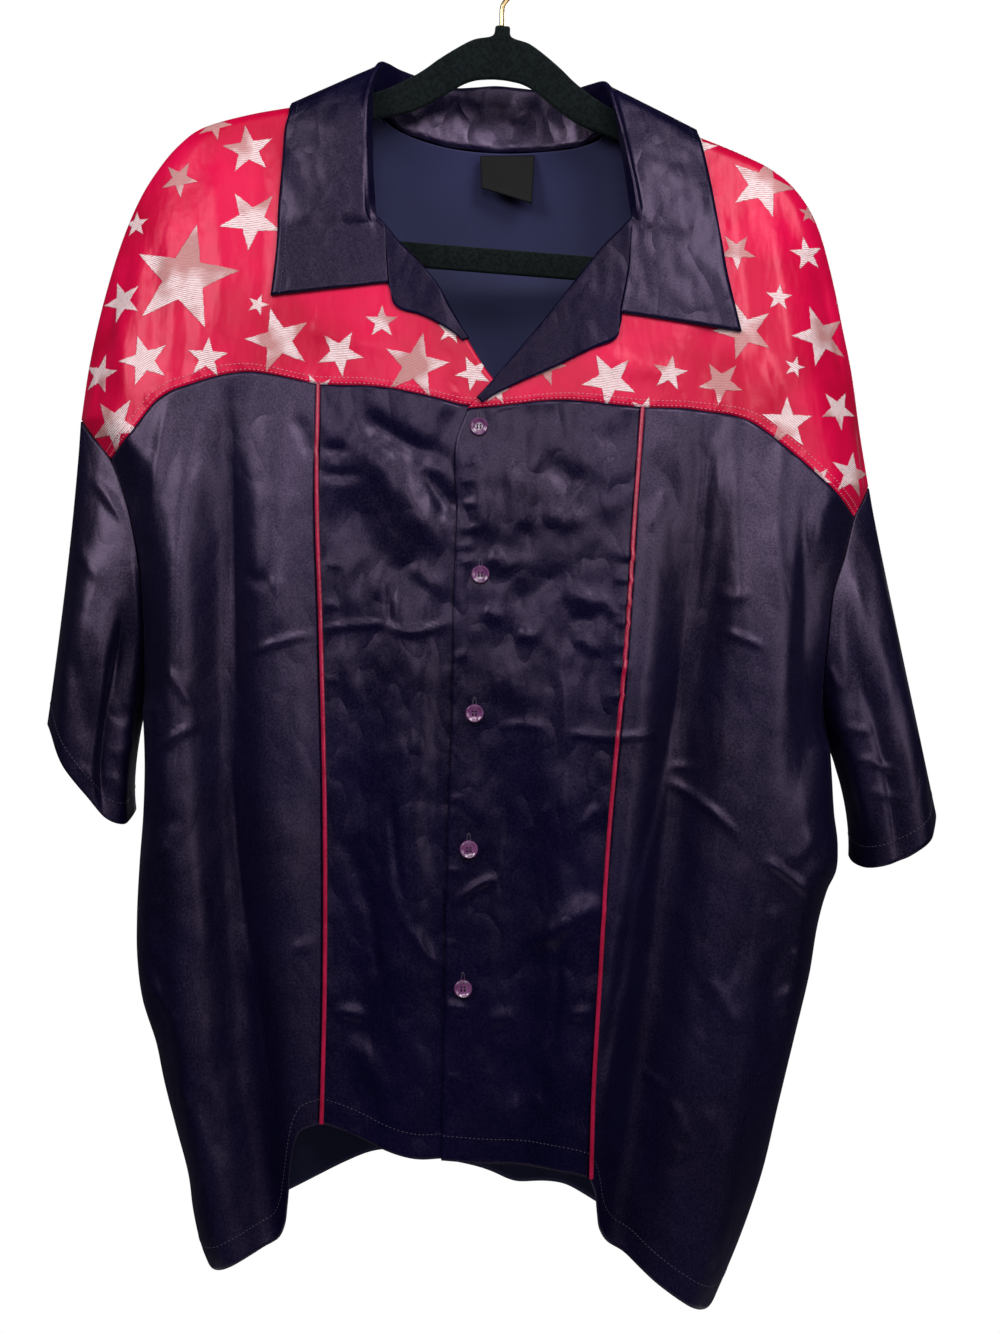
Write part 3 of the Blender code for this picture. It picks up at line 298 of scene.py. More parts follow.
# Largest folds: a line down the cloth, how far it reaches to each side, and how far it stands
# out (a ridge) or sinks (a valley)
FRONT_FOLDS = table(
    "top bottom x_top x_middle x_bottom reach height",
    (300, 1050, -186, -187, -134, 17, -19),
    (330, 1150, -222, -226, -180, 30, 12),
    (300, 1100, -156, -150, -112, 22, 8),
    (330, 900, -100, -102, -88, 24, -6),
    (430, 1060, -66, -70, -66, 20, 7),
    (380, 1060, 142, 108, 54, 19, -22),
    (360, 1120, 190, 160, 100, 36, 13),
    (420, 620, 218, 213, 210, 12, -8),
    (380, 1100, 104, 72, 22, 22, 8),
    (560, 1100, 15, 12, 6, 22, -7),
    (480, 1100, 45, 40, 28, 18, 6),
    (640, 1100, 196, 176, 128, 16, -10),
    (600, 1100, -236, -230, -196, 12, -9),
)
BACK_FOLDS = table(
    "top bottom x_top x_middle x_bottom reach height",
    (92, 250, -6, -6, -6, 74, 14),
    (260, 1100, -172, -165, -120, 24, -15),
    (260, 1100, -216, -210, -165, 26, 10),
    (240, 1100, -112, -112, -82, 28, 10),
    (200, 1100, -54, -56, -40, 24, -12),
    (220, 1100, 2, 0, 0, 28, 10),
    (220, 1100, 60, 54, 36, 24, -12),
    (240, 1100, 114, 104, 70, 28, 10),
    (280, 1100, 166, 150, 100, 24, -15),
    (300, 1100, 206, 190, 136, 24, 10),
)
SLEEVE_FOLDS = {
    "right": table(
        "around reach top bottom height",
        (3.0, 1.1, 0.1, 1.6, 5), (5.6, 0.7, 0.0, 1.1, -9), (7.1, 0.7, 0.0, 1.3, 4),
        (12.0, 1.0, 0.05, 1.5, -7), (14.4, 1.0, 0.1, 1.6, 5),
    ),
    "left": table(
        "around reach top bottom height",
        (2.6, 1.0, 0.1, 1.6, 5), (4.6, 0.7, 0.05, 1.2, -6), (6.4, 0.7, 0.0, 0.9, 4),
        (11.8, 1.0, 0.05, 1.5, -7), (14.2, 1.0, 0.1, 1.6, 5),
    ),
}

# The collar, one end to the other: the neckline row its seam follows (or the gorge it follows on
# the yoke where the band has ended), its roll line, its outer edge and how much band it has
COLLAR = table(
    "neck gorge_x gorge_drop roll_x roll_drop roll_y edge_x edge_drop edge_y band",
    (3.5, -79.6, 253, -82, 253, -45, -162, 262, -30, 0),
    (4.0, -81.5, 230, -84, 229, -43, -159, 233, -30, 0),
    (4.75, -83.0, 210, -89, 211, -40, -158, 214, -30, 0.2),
    (5, -89.0, 203, -94.5, 197, -38.5, -158, 200, -28, 0.65),
    (6, -92.3, 168, -97, 162, -31.5, -156, 164, -20, 1),
    (7, -93.2, 133, -98, 124, -23, -155, 139, -14, 1),
    (8, -93.0, 117, -95, 103, -14, -152.5, 128, -8, 1),
    (11, -92.6, 107.0, -88, 86, 0, -150, 116.0, 0, 1),
    (12, -86.6, 123.4, -78, 86.5, 15, -140, 133, 12, 1),
    (13, -75.0, 130.5, -64, 89, 27, -112, 147, 24, 1),
    (14, -40, 138.2, -36, 95, 37, -60, 155, 30, 1),
    (15, -6, 141.6, -5, 92.5, 42, -6, 159, 32, 1),
    (16, 30, 143.2, 26, 96, 40, 44, 160, 30, 1),
    (17, 55, 141.3, 46, 99, 33, 84, 160, 25, 1),
    (18, 70, 134, 62, 98.5, 18, 118, 150, 17, 1),
    (18.5, 75, 125, 69, 98.5, 9, 131, 141.5, 9, 1),
    (19, 79.8, 115.4, 74, 100, 0, 139, 135, 0, 1),
    (20.5, 81, 121, 77.5, 105, -7, 140.5, 138.5, -5, 1),
    (22, 82, 127, 80, 112, -13, 142, 145, -10, 1),
    (23, 84.2, 143, 86, 136, -21.5, 145, 158, -14, 1),
    (24, 88.2, 171, 92, 165, -29.5, 149, 180, -20, 1),
    (25, 92.0, 200, 97.5, 196, -36.5, 153, 207, -28, 0.65),
    (25.1, 92, 212, 96, 217, -39, 156, 226, -30, 0.2),
    (26, 89.6, 240, 91, 241, -44, 159, 246, -30, 0),
    (26.6, 83.2, 274.5, 85.6, 275, -48, 168, 287, -30, 0),
)
COLLAR_END = {"right": 250, "left": 276}
COLLAR_SEAM_GAP = 0.8
COLLAR_BACK_TUCK = 1.4
COLLAR_ROW_APART = 0.04
ROLL_HALF_WIDTH = 2.6
ROLL_DEPTH = 2.4
LEAF_PUFF = 2.0
LEAF_START = 0.56

# Lapels lie on the yokes between the neckline and their own outer edge
LAPEL = {
    "right": table(
        "neck_x neck_drop outer_x outer_drop",
        (-87.6, 206.9, -88.6, 208.3), (-81, 214.6, -82.4, 216.8), (-73.5, 224, -80.9, 228),
        (-60, 238.5, -78.8, 252), (-47, 254, -74.3, 269), (-37.5, 270.5, -56, 275.5),
        (-29.5, 284.5, -36, 286), (-24.5, 292.5, -27, 293.5),
    ),
    "left": table(
        "neck_x neck_drop outer_x outer_drop",
        (91.2, 207.4, 92.6, 209.0), (88.5, 210.2, 90.8, 213.2), (82, 217, 90.2, 220.5),
        (72, 227.5, 87.9, 246), (60.5, 242, 82.8, 272), (48, 258, 80.2, 291),
        (30.5, 280.5, 61, 300), (12.5, 302, 37, 312), (-0.5, 317.5, 12, 323),
        (-10, 328.5, -5, 331.5), (-16.5, 335.5, -14.5, 337.5),
    ),
}

# The turn over the yoke's neck edge, as how far past the edge and how far out, and the tuck under
# the collar's end, as how far past the edge and how far down
LAPEL_TURN = ((1.3, -WALL - 0.8), (1.9, 0.0), (1.8, 0.9), (1.2, WALL + 0.7))
LAPEL_TUCK = ((0.5, 0.9), (1.3, 1.3), (2.4, 1.4))
LAPEL_COLUMNS = 25

BUTTONS = table("x drop", (-16, 355), (-15, 458), (-19, 554), (-23, 648), (-27, 744))

# The label's corners, the upper two first
LABEL = table("x drop y", (-16, 147, 27.6), (24, 146.6, 27.6), (-15, 171, 26.0), (22, 183, 24.5))
LABEL_CELLS = 24
LABEL_BOW = 0.8
LABEL_CURL = 0.5

# Half of the hanger, in its own level frame, crown to the middle of the bar
HANGER = table(
    "outer_x outer_drop inner_x inner_drop",
    (0, -8.5, 0, 30), (5, -8, 4, 30.1), (7, -1, 9, 30.6), (20, 2.7, 17, 32), (32, 10, 26, 36),
    (44.5, 19.2, 36, 43), (55, 28, 48, 51), (70, 38, 62, 58.5), (85, 45.5, 84, 65),
    (107, 53, 106, 71), (130, 60.8, 128, 78), (170, 72, 165, 90), (195, 81, 186, 99),
    (210, 90, 195, 107), (220, 103, 199, 117), (222, 122, 198, 128), (217, 142, 193, 139),
    (204, 158, 184, 147), (186, 167, 170, 151), (150, 169.5, 140, 151.7), (75, 169.5, 75, 151.7),
    (0, 169.5, 0, 151.7),
)

# How much creases are lifted: narrow ones less than wide ones, between two reaches
SMALL_LIFT = 1.15
WIDE_LIFT = 1.55
SMALL_REACH = 4
WIDE_REACH = 9

# Small creases of the front: start, middle and end as x and drop, then how far each reaches to
# its sides, its height, and which side it leans to
FRONT_CREASES = (
    (-191, 317, -189, 404, -183, 586, 3.5, -2.6, 0.3),
    (-191, 559, -182, 670, -166, 753, 4, -3, 0.3),
    (-169, 743, -164, 781, -157, 835, 3.5, -2.4, 0.2),
    (-230, 323, -239, 379, -248, 436, 4.5, 1.6, 0.2),
    (-216, 364, -219, 420, -225, 503, 10, 1.4, 0),
    (149, 250, 142, 362, 131, 492, 14, -3.4, 0),
    (176, 285, 172, 400, 158, 560, 17, 2.6, 0),
    (-183, 351, -175, 420, -178, 489, 9, 1.2, 0),
    (-181, 515, -153, 505, -125, 498, 2.4, 1.5, -0.5),
    (-128, 498, -102, 493, -76, 494, 2.4, 1.4, -0.5),
    (-80, 494, -57, 498, -32, 488, 2.8, 1.5, -0.5),
    (-230, 521, -221, 536, -211, 550, 3, 1.6, 0.4),
    (-243, 584, -225, 570, -204, 560, 3, 1.6, -0.4),
    (-237, 538, -232, 566, -237, 597, 6, -1.6, 0),
    (-101, 338, -70, 364, -31, 376, 7.5, -2.6, 0.3),
    (-55, 381, -42, 402, -31, 419, 6, -2.4, 0.2),
    (-103, 353, -70, 402, -35, 442, 11, 2.4, 0),
    (-119, 392, -90, 434, -43, 475, 14, -1.8, 0),
    (-145, 342, -137, 364, -131, 377, 4.5, -1.8, 0),
    (-128, 385, -111, 389, -97, 384, 4, -1.5, 0),
    (-126, 366, -117, 371, -105, 369, 3.5, -1.2, 0),
    (-181, 447, -170, 463, -160, 453, 4, -1.5, 0),
    (-160, 455, -154, 475, -157, 503, 5, 1.3, 0),
    (-81, 460, -79, 479, -78, 494, 3, -1.4, 0),
    (-65, 448, -50, 462, -35, 469, 6, 1.4, 0),
    (-71, 510, -68, 545, -74, 586, 9, -1.3, 0),
    (-140, 517, -143, 559, -140, 607, 8, 1, 0),
    (-105, 503, -104, 559, -110, 614, 9, 0.9, 0),
    (-76, 597, -73, 653, -64, 698, 3.2, -1.8, 0.2),
    (-93, 670, -89, 704, -85, 743, 3.6, -1.6, 0),
    (-117, 636, -101, 663, -92, 708, 6, -1.3, 0),
    (-64, 698, -54, 715, -40, 731, 4, 1.5, 0),
    (-117, 763, -105, 761, -92, 767, 4.5, 1.7, 0),
    (-105, 774, -90, 799, -76, 825, 8, 2.2, 0),
    (-143, 708, -137, 715, -133, 704, 4, 1.2, 0),
    (-148, 614, -146, 656, -150, 704, 7, 1, 0),
    (-246, 738, -235, 752, -221, 772, 4, 1.8, 0.3),
    (-224, 816, -218, 818, -212, 822, 3, 1.5, 0),
    (-250, 722, -237, 733, -226, 746, 5, -1.4, 0),
    (-246, 656, -237, 649, -226, 641, 5, 1.5, 0),
    (-251, 684, -243, 687, -232, 681, 5, 1.4, 0),
    (-244, 628, -233, 629, -221, 623, 6, -1.2, 0),
    (-209, 635, -206, 684, -200, 739, 8, 1.2, 0),
    (-209, 808, -200, 836, -190, 871, 6, -1.3, 0),
    (-182, 760, -175, 795, -173, 836, 6, 1.2, 0),
    (150, 344, 143, 448, 121, 560, 4.5, 2.2, -0.4),
    (121, 560, 104, 642, 83, 731, 4, 2, -0.4),
    (83, 731, 75, 788, 68, 843, 4.5, 1.6, -0.4),
    (112, 364, 121, 434, 111, 503, 12, -2, 0),
    (137, 337, 140, 420, 130, 503, 9, -2.4, 0),
    (130, 503, 115, 586, 96, 670, 5.5, -3, 0.3),
    (96, 670, 82, 739, 71, 815, 5.5, -2.6, 0.3),
    (214, 385, 209, 462, 209, 563, 5, -2.2, 0),
    (198, 351, 190, 420, 194, 503, 6, 1.4, 0),
    (166, 358, 162, 434, 158, 517, 8, 1.4, 0),
    (43, 566, 61, 570, 80, 570, 2.2, 1.3, -0.5),
    (72, 571, 92, 570, 112, 568, 2.4, 1.3, -0.5),
    (-1, 566, 12, 562, 35, 566, 2.6, 0.9, -0.5),
    (148, 462, 158, 474, 173, 466, 4, 1.3, 0),
    (150, 496, 164, 502, 183, 510, 3, 1.3, -0.4),
    (101, 430, 109, 412, 113, 397, 2.8, 1.1, 0),
    (112, 601, 137, 615, 166, 643, 2.8, 2, -0.4),
    (138, 614, 140, 618, 141, 623, 3, 0.9, 0),
    (177, 654, 197, 666, 219, 687, 3, 2.2, -0.4),
    (186, 684, 189, 704, 182, 727, 5, 1.6, 0),
    (191, 656, 207, 649, 215, 628, 5, 1.6, 0),
    (115, 592, 126, 592, 139, 592, 3, 1, -0.3),
    (194, 743, 198, 753, 193, 767, 6, 2, 0),
    (177, 796, 182, 801, 178, 810, 5, 1.5, 0),
    (200, 717, 205, 724, 208, 731, 4, 1.4, 0),
    (141, 731, 153, 753, 162, 774, 4, 1.4, 0),
    (130, 725, 137, 753, 133, 781, 5, -1.2, 0),
    (98, 806, 105, 808, 115, 817, 3, 1.3, 0),
    (115, 818, 122, 833, 126, 851, 4, 1.3, 0),
    (115, 853, 121, 854, 126, 857, 3, 1, 0),
    (166, 670, 164, 711, 148, 753, 5, -1.4, 0),
    (137, 822, 148, 843, 153, 878, 7, 1, 0),
    (96, 836, 101, 871, 103, 912, 7, -1, 0),
    (-32, 688, -18, 674, 1, 668, 2.8, 1.8, -0.3),
    (1, 672, 4, 642, 7, 614, 3.5, -1.4, 0),
    (10, 718, 42, 699, 69, 681, 8, 2.4, 0),
    (36, 709, 38, 747, 31, 796, 3, -2.4, 0),
    (54, 635, 60, 625, 65, 616, 2.6, 1.4, 0),
    (18, 642, 25, 628, 33, 614, 2.6, 1.4, 0),
    (-39, 756, -31, 757, -21, 761, 2.8, 1.7, 0),
    (-11, 768, -1, 765, 10, 761, 6, 1.8, 0),
    (44, 763, 53, 760, 63, 758, 4, 1.5, 0),
    (7, 785, 10, 808, 7, 829, 5, -1, 0),
    (18, 826, 24, 822, 28, 831, 5, 1.3, 0),
    (-10, 442, -0, 449, 7, 457, 6, 1.5, 0),
    (-12, 480, -6, 485, 1, 491, 5, 1.6, 0),
    (-32, 512, -28, 514, -22, 512, 3.5, 1.1, 0),
    (10, 498, 18, 500, 26, 502, 4, 1.5, 0),
    (51, 499, 60, 507, 68, 514, 4, 1.6, 0),
    (40, 475, 57, 474, 72, 484, 6, 1.7, 0),
    (50, 495, 55, 488, 64, 494, 5, -1.5, 0),
    (67, 469, 74, 480, 79, 489, 4, 1.2, 0),
    (76, 439, 83, 442, 90, 439, 4, 1.2, 0),
    (76, 520, 82, 522, 87, 520, 3.5, 1.2, 0),
    (26, 376, 43, 389, 54, 399, 9, -1.8, 0),
    (-22, 364, -11, 406, -15, 434, 10, 1.5, 0),
    (-1, 364, 10, 406, 19, 434, 9, 1.2, 0),
    (12, 420, 18, 434, 15, 449, 5, -1.3, 0),
    (26, 406, 43, 420, 61, 413, 8, 1.3, 0),
    (68, 358, 72, 392, 68, 427, 8, 0.9, 0),
    (-8, 517, 12, 538, 40, 545, 12, 1, 0),
    (40, 448, 26, 469, -1, 475, 7, -1.2, 0),
    (-22, 593, -15, 614, -18, 642, 6, 1, 0),
    (40, 586, 35, 614, 37, 649, 8, 0.9, 0),
)

BACK_CREASES = (
    (-190, 330, -196, 420, -188, 520, 6, -1.8, 0), (-150, 300, -120, 360, -70, 400, 11, 2.0, 0),
    (-40, 300, -20, 380, -30, 470, 9, -1.6, 0), (30, 290, 70, 350, 120, 380, 11, 2.0, 0),
    (150, 330, 156, 420, 150, 520, 6, -1.8, 0), (-218, 520, -190, 545, -150, 552, 4, 1.7, 0.3),
    (-230, 560, -205, 585, -180, 596, 3.5, 1.6, 0.3), (206, 560, 180, 590, 140, 600, 4, 1.7, -0.3),
    (214, 600, 190, 625, 168, 632, 3.5, 1.5, -0.3), (-110, 470, -60, 486, 0, 480, 3, 1.3, -0.5),
    (0, 480, 50, 476, 96, 486, 3, 1.2, -0.5), (-90, 560, -84, 640, -96, 720, 7, -1.5, 0),
    (-30, 600, -24, 690, -36, 780, 8, 1.4, 0), (20, 560, 30, 640, 22, 730, 7, -1.5, 0),
    (80, 600, 74, 700, 84, 790, 8, 1.3, 0), (-180, 640, -160, 670, -128, 684, 4, 1.8, 0.3),
    (-200, 720, -184, 748, -160, 760, 4, 1.7, 0.3), (176, 680, 150, 706, 118, 716, 4, 1.8, -0.3),
    (182, 760, 164, 782, 140, 790, 4, 1.6, -0.3), (-60, 800, -52, 840, -60, 878, 6, 1.4, 0),
    (10, 790, 16, 840, 8, 890, 6, -1.3, 0), (100, 820, 108, 870, 104, 920, 7, 1.4, 0),
    (-150, 800, -146, 850, -154, 896, 7, -1.3, 0), (-120, 210, -90, 240, -60, 250, 8, 1.2, 0),
    (60, 220, 84, 250, 110, 262, 8, 1.2, 0), (-70, 680, -50, 690, -40, 712, 4, 1.2, 0),
    (110, 520, 118, 550, 114, 590, 5, 1.2, 0), (-140, 430, -134, 500, -142, 560, 6, 1.3, 0),
    (50, 660, 60, 670, 56, 690, 4, 1.2, 0), (-20, 520, -10, 540, 6, 546, 4, 1.1, 0),
)
SLEEVE_CREASES = {
    "right front": (
        (-293, 385, -278, 402, -262, 424, 4, 1.6, 0.3),
        (-257, 430, -256, 470, -260, 512, 6, 1.8, 0),
        (-284, 480, -280, 524, -283, 568, 6, 1.8, 0), (-300, 503, -295, 540, -288, 585, 6, -1.6, 0),
        (-270, 470, -266, 520, -268, 575, 4, -1.5, 0), (-300, 430, -290, 450, -276, 462, 5, 1.2, 0),
        (-296, 590, -290, 596, -284, 606, 3, 1.0, 0), (-276, 596, -272, 604, -268, 616, 3, 1.0, 0),
        (-262, 548, -266, 556, -272, 560, 4, -1.4, 0), (-262, 570, -268, 580, -276, 584, 4, 1.2, 0),
    ),
    "left front": (
        (224, 519, 228, 545, 228, 560, 2.4, 1.3, 0), (228, 517, 234, 530, 239, 540, 2.2, 1.4, 0),
        (227, 566, 232, 574, 240, 584, 6, -4.5, 0), (216, 590, 226, 602, 237, 617, 3, 1.7, 0),
        (250, 584, 264, 590, 280, 597, 3, 1.7, 0.3), (248, 448, 252, 500, 258, 556, 6, 1.6, 0),
        (268, 476, 274, 530, 280, 584, 6, -1.7, 0), (262, 430, 270, 470, 280, 520, 6, 1.3, 0),
        (244, 470, 242, 520, 246, 560, 4, -1.5, 0), (256, 610, 270, 612, 286, 620, 4, 1.2, 0),
        (290, 560, 294, 590, 298, 620, 5, 1.4, 0), (240, 560, 250, 566, 262, 566, 3, 1.3, 0),
    ),
    "right back": (
        (-290, 390, -276, 410, -262, 440, 5, 1.6, 0), (-262, 450, -262, 500, -270, 550, 6, 1.7, 0),
        (-288, 460, -284, 510, -290, 560, 6, -1.6, 0), (-300, 480, -300, 520, -306, 560, 5, 1.4, 0),
        (-262, 555, -272, 566, -284, 570, 4, 1.4, 0),
    ),
    "left back": (
        (250, 430, 244, 460, 238, 500, 5, 1.6, 0), (240, 500, 244, 540, 250, 590, 6, 1.7, 0),
        (264, 470, 268, 520, 276, 580, 6, -1.6, 0), (284, 520, 288, 560, 294, 600, 5, 1.4, 0),
        (240, 590, 252, 602, 268, 606, 4, 1.4, 0),
    ),
}

# Soft folds over the yokes, added to the front's creases
YOKE_CREASES = (
    (-176, 130, -170, 200, -172, 300, 9, -1.5, 0), (-206, 160, -198, 220, -192, 318, 10, 1.6, 0),
    (-256, 200, -244, 262, -246, 330, 9, -1.6, 0), (-276, 260, -268, 300, -262, 350, 7, 1.4, 0),
    (-226, 250, -222, 290, -226, 330, 6, -1.2, 0), (-140, 280, -110, 292, -70, 300, 7, 1.0, 0),
    (160, 170, 170, 240, 178, 330, 9, -1.6, 0), (190, 180, 198, 260, 206, 350, 9, 1.6, 0),
    (226, 230, 232, 300, 238, 380, 8, -1.6, 0), (244, 300, 248, 340, 252, 390, 6, 1.2, 0),
    (176, 300, 186, 322, 196, 350, 7, 1.2, 0), (60, 300, 90, 312, 130, 318, 7, 1.0, 0),
)

# Short puckers drawn in by the stitches: above the yoke seams, beside the placket and the piping
PUCKERS = (
    (-262, 350, -263, 356, -265, 362, 2.0, 0.7, 0), (-246, 328, -247, 334, -249, 340, 2.4, 0.8, 0),
    (-229, 317, -230, 322, -231, 328, 1.9, 0.7, 0), (-212, 310, -212, 316, -213, 321, 2.5, 0.9, 0),
    (-198, 306, -198, 311, -198, 316, 1.8, 0.6, 0), (-181, 305, -181, 310, -180, 315, 2.3, 0.8, 0),
    (-160, 307, -160, 312, -159, 316, 2.0, 0.7, 0), (-139, 311, -139, 317, -138, 321, 2.6, 0.9, 0),
    (-121, 314, -120, 319, -120, 324, 1.9, 0.7, 0), (-98, 316, -98, 321, -97, 325, 2.4, 0.8, 0),
    (-76, 318, -76, 323, -75, 327, 2.0, 0.7, 0), (-55, 322, -55, 327, -54, 331, 2.5, 0.8, 0),
    (-33, 326, -33, 331, -32, 335, 1.9, 0.7, 0), (6, 328, 6, 333, 6, 338, 2.2, 0.7, 0),
    (24, 327, 24, 332, 25, 336, 2.5, 0.8, 0), (47, 326, 47, 331, 47, 336, 1.9, 0.7, 0),
    (66, 328, 66, 333, 65, 338, 2.4, 0.9, 0), (88, 330, 88, 335, 87, 340, 2.0, 0.7, 0),
    (109, 331, 109, 336, 108, 341, 2.5, 0.8, 0), (129, 331, 129, 336, 128, 341, 1.9, 0.7, 0),
    (151, 335, 150, 340, 149, 345, 2.4, 0.9, 0), (172, 343, 170, 348, 168, 352, 2.0, 0.7, 0),
    (193, 355, 190, 359, 187, 363, 2.5, 0.8, 0), (214, 371, 211, 375, 208, 379, 2.0, 0.7, 0),
    (234, 388, 231, 392, 228, 396, 2.3, 0.8, 0), (-27, 378, -20, 379, -13, 377, 1.9, 1.0, 0.2),
    (-29, 392, -22, 393, -16, 391, 2.1, 0.9, -0.2), (-29, 409, -22, 408, -17, 410, 1.8, 1.0, 0.2),
    (-31, 424, -22, 426, -14, 424, 2.2, 1.1, 0.2), (-32, 438, -26, 438, -20, 440, 1.8, 0.8, 0),
    (-31, 447, -24, 449, -18, 448, 2.0, 0.9, -0.2), (80, 448, 86, 446, 92, 447, 2.0, 1.0, 0.2),
    (78, 462, 84, 461, 91, 463, 2.2, 1.1, 0.2), (79, 478, 85, 478, 90, 477, 1.8, 0.9, 0),
    (76, 491, 82, 492, 88, 491, 2.1, 1.0, -0.2), (76, 508, 81, 507, 86, 509, 1.9, 0.9, 0),
    (73, 541, 79, 542, 83, 541, 2.0, 0.9, 0.2), (-124, 452, -118, 451, -112, 453, 2.0, 0.8, 0),
    (-123, 478, -117, 479, -111, 478, 2.2, 0.9, 0.2),
    (-123, 532, -118, 531, -112, 532, 1.9, 0.8, 0),
    (-38, 612, -33, 613, -27, 612, 2.0, 0.9, 0), (-39, 664, -34, 663, -28, 665, 2.1, 0.9, 0.2),
    (-40, 712, -35, 713, -29, 712, 1.9, 0.8, 0), (-40, 806, -35, 805, -29, 807, 2.1, 0.9, 0),
)
FRONT_CREASES = FRONT_CREASES + YOKE_CREASES + PUCKERS

# Woven stars on each yoke: middle, reach of the points, and a turn in degrees
STARS = {
    "right": (
        (-224, 248, 40, 12), (-181, 153, 19, -8), (-230, 174, 14, 30), (-262, 205, 10, 0),
        (-177, 206, 23, 40), (-270, 262, 16, -20), (-286, 314, 15, 15), (-251, 307, 19, 55),
        (-206, 306, 15, 5), (-171, 268, 8, 20), (-156, 294, 24, -15), (-113, 303, 17, 30),
        (-84, 281, 12, 0), (-60, 312, 24, 12), (-20, 317, 13, -25), (-272, 352, 21, 35),
        (-206, 133, 13, 22), (-129, 330, 13, 48), (-36, 287, 10, 8), (-140, 232, 16, 5),
        (-120, 150, 18, 14), (-130, 190, 12, 50),
    ),
    "left": (
        (186, 178, 25, 20), (217, 228, 13, -10), (166, 228, 14, 35), (195, 262, 10, 5),
        (226, 288, 23, 50), (170, 286, 22, -18), (205, 312, 8, 15), (238, 340, 15, 28),
        (199, 352, 19, 0), (153, 323, 16, 42), (117, 317, 13, 10), (75, 322, 20, -28),
        (30, 312, 15, 18), (247, 386, 17, 8), (222, 390, 9, 40), (220, 197, 8, 0),
        (99, 344, 11, 20), (139, 150, 16, 12), (248, 258, 9, 33), (-4, 330, 10, 5),
        (112, 200, 18, 40), (126, 262, 12, 8),
    ),
}
STAR_NOTCH = 0.40
STAR_RIB = 0.0015
STAR_POINTS = 5

# How far each row of stitches runs from its edge
BACK_HEM_DEPTH = 16
FRONT_HEM_DEPTH = 17
SLEEVE_HEM_DEPTH = 15
COLLAR_EDGE_DEPTH = 6.3
YOKE_STITCH_DEPTHS = (1.8, 6.4)

# Painted shade: satin's shine is turned down towards the hem so that it looks less lit there:
# from and to a height in metres, and its shares there
HEM_PAINTED_SHADE = (-0.78, -0.42, 0.66, 1.04)

# Linear colours of the skins: the darker and the lighter of each pair
NAVY = ((0.0006, 0.0006, 0.0085, 1), (0.0024, 0.0019, 0.0180, 1))
REVERSE_NAVY = ((0.0130, 0.0140, 0.0560, 1), (0.0200, 0.0210, 0.0780, 1))
CRIMSON = ((0.46, 0.0005, 0.030, 1), (0.66, 0.002, 0.058, 1))
REVERSE_CRIMSON = ((0.30, 0.010, 0.040, 1), (0.38, 0.020, 0.060, 1))
# The stars' silver thread, and the rose-tan they show where their painted sheen is taken away
SILVER = (0.92, 0.80, 0.83, 1)
ROSE_TAN = (0.46, 0.17, 0.165, 1)
PIPING_RED = ((0.27, 0.002, 0.026, 1), (0.40, 0.006, 0.052, 1))
PLUM = ((0.085, 0.022, 0.085, 1), (0.17, 0.055, 0.155, 1))
LABEL_BLACK = ((0.0025, 0.0025, 0.0030, 1), (0.0070, 0.0068, 0.0075, 1))
FLOCK = ((0.0015, 0.0022, 0.0026, 1), (0.0055, 0.0085, 0.0095, 1))
BRASS = ((0.62, 0.42, 0.20, 1), (0.78, 0.58, 0.32, 1))
NAVY_THREAD = (0.055, 0.045, 0.085, 1)
RED_THREAD = (0.85, 0.22, 0.29, 1)
PLUM_THREAD = (0.035, 0.020, 0.050, 1)

# Light: the room's own, how white its walls look, and place, aim, size and power of each lamp
WORLD_LIGHT = 0.02
WALL_WHITE = 1.0
LAMPS = (
    ("front", (0.0, -1.90, 0.20), (0.0, 0.0, -0.40), 0.8, 8),
    ("right", (0.80, -1.30, 0.75), (0.12, 0.0, -0.45), 0.8, 20),
    ("low", (1.20, -1.00, -0.30), (0.12, 0.0, -0.50), 0.8, 4.5),
    ("left", (-1.15, -1.15, 0.50), (-0.1, 0.0, -0.40), 0.8, 16),
    ("top", (-0.12, -1.05, 1.12), (0.0, 0.0, -0.28), 1.1, 5),
    ("rear", (0.6, 2.0, 0.2), (0.0, 0.0, -0.5), 1.2, 20),
)
FLOOR_RADIUS = 1.2
FLOOR_HEIGHT = -1.75
CAMERA_PLACE = (-0.0014, -1.5, -0.5216)
CAMERA_SENSOR = 36
CAMERA_LENS = 56.25

OUT_FRONT = (0, -1, 0)
OUT_BACK = (0, 1, 0)
DOWN = (0, 0, -1)


# ---------------------------------------------------------------- curves and surfaces

def joined(*parts):
    """Columns put side by side."""
    return np.stack(parts, axis=-1)


def unit(vectors):
    return vectors / np.linalg.norm(vectors, axis=-1, keepdims=True)


def running(steps):
    """The length run so far, from 0."""
    return np.concatenate([[0], np.cumsum(steps)])


def cubic(t, here, after, slope, slope_after):
    """From one value to the next, leaving and arriving with the given slopes."""
    start = (1 + 2 * t) * (1 - t) ** 2 * here + t * (1 - t) ** 2 * slope
    end = t * t * (3 - 2 * t) * after + t * t * (t - 1) * slope_after
    return start + end


def bowed(t, start, middle, end):
    """From start to end through the middle."""
    return (1 - t) * (1 - 2 * t) * start + 4 * t * (1 - t) * middle + t * (2 * t - 1) * end


def smooth(at, values, where):
    """A cubic curve through the given values, read at any places."""
    slope = np.gradient(values, at)
    where = np.clip(where, at[0], at[-1])
    cell = np.clip(np.searchsorted(at, where) - 1, 0, len(at) - 2)
    width = at[cell + 1] - at[cell]
    t = (where - at[cell]) / width
    return cubic(t, values[cell], values[cell + 1], width * slope[cell], width * slope[cell + 1])


def x_at(rows, drop):
    """How far sideways a table's line lies at a drop."""
    return smooth(rows["drop"], rows["x"], drop)


def ease(t):
    """Rises smoothly from 0 to 1."""
    t = np.clip(t, 0.0, 1.0)
    return t * t * (3 - 2 * t)


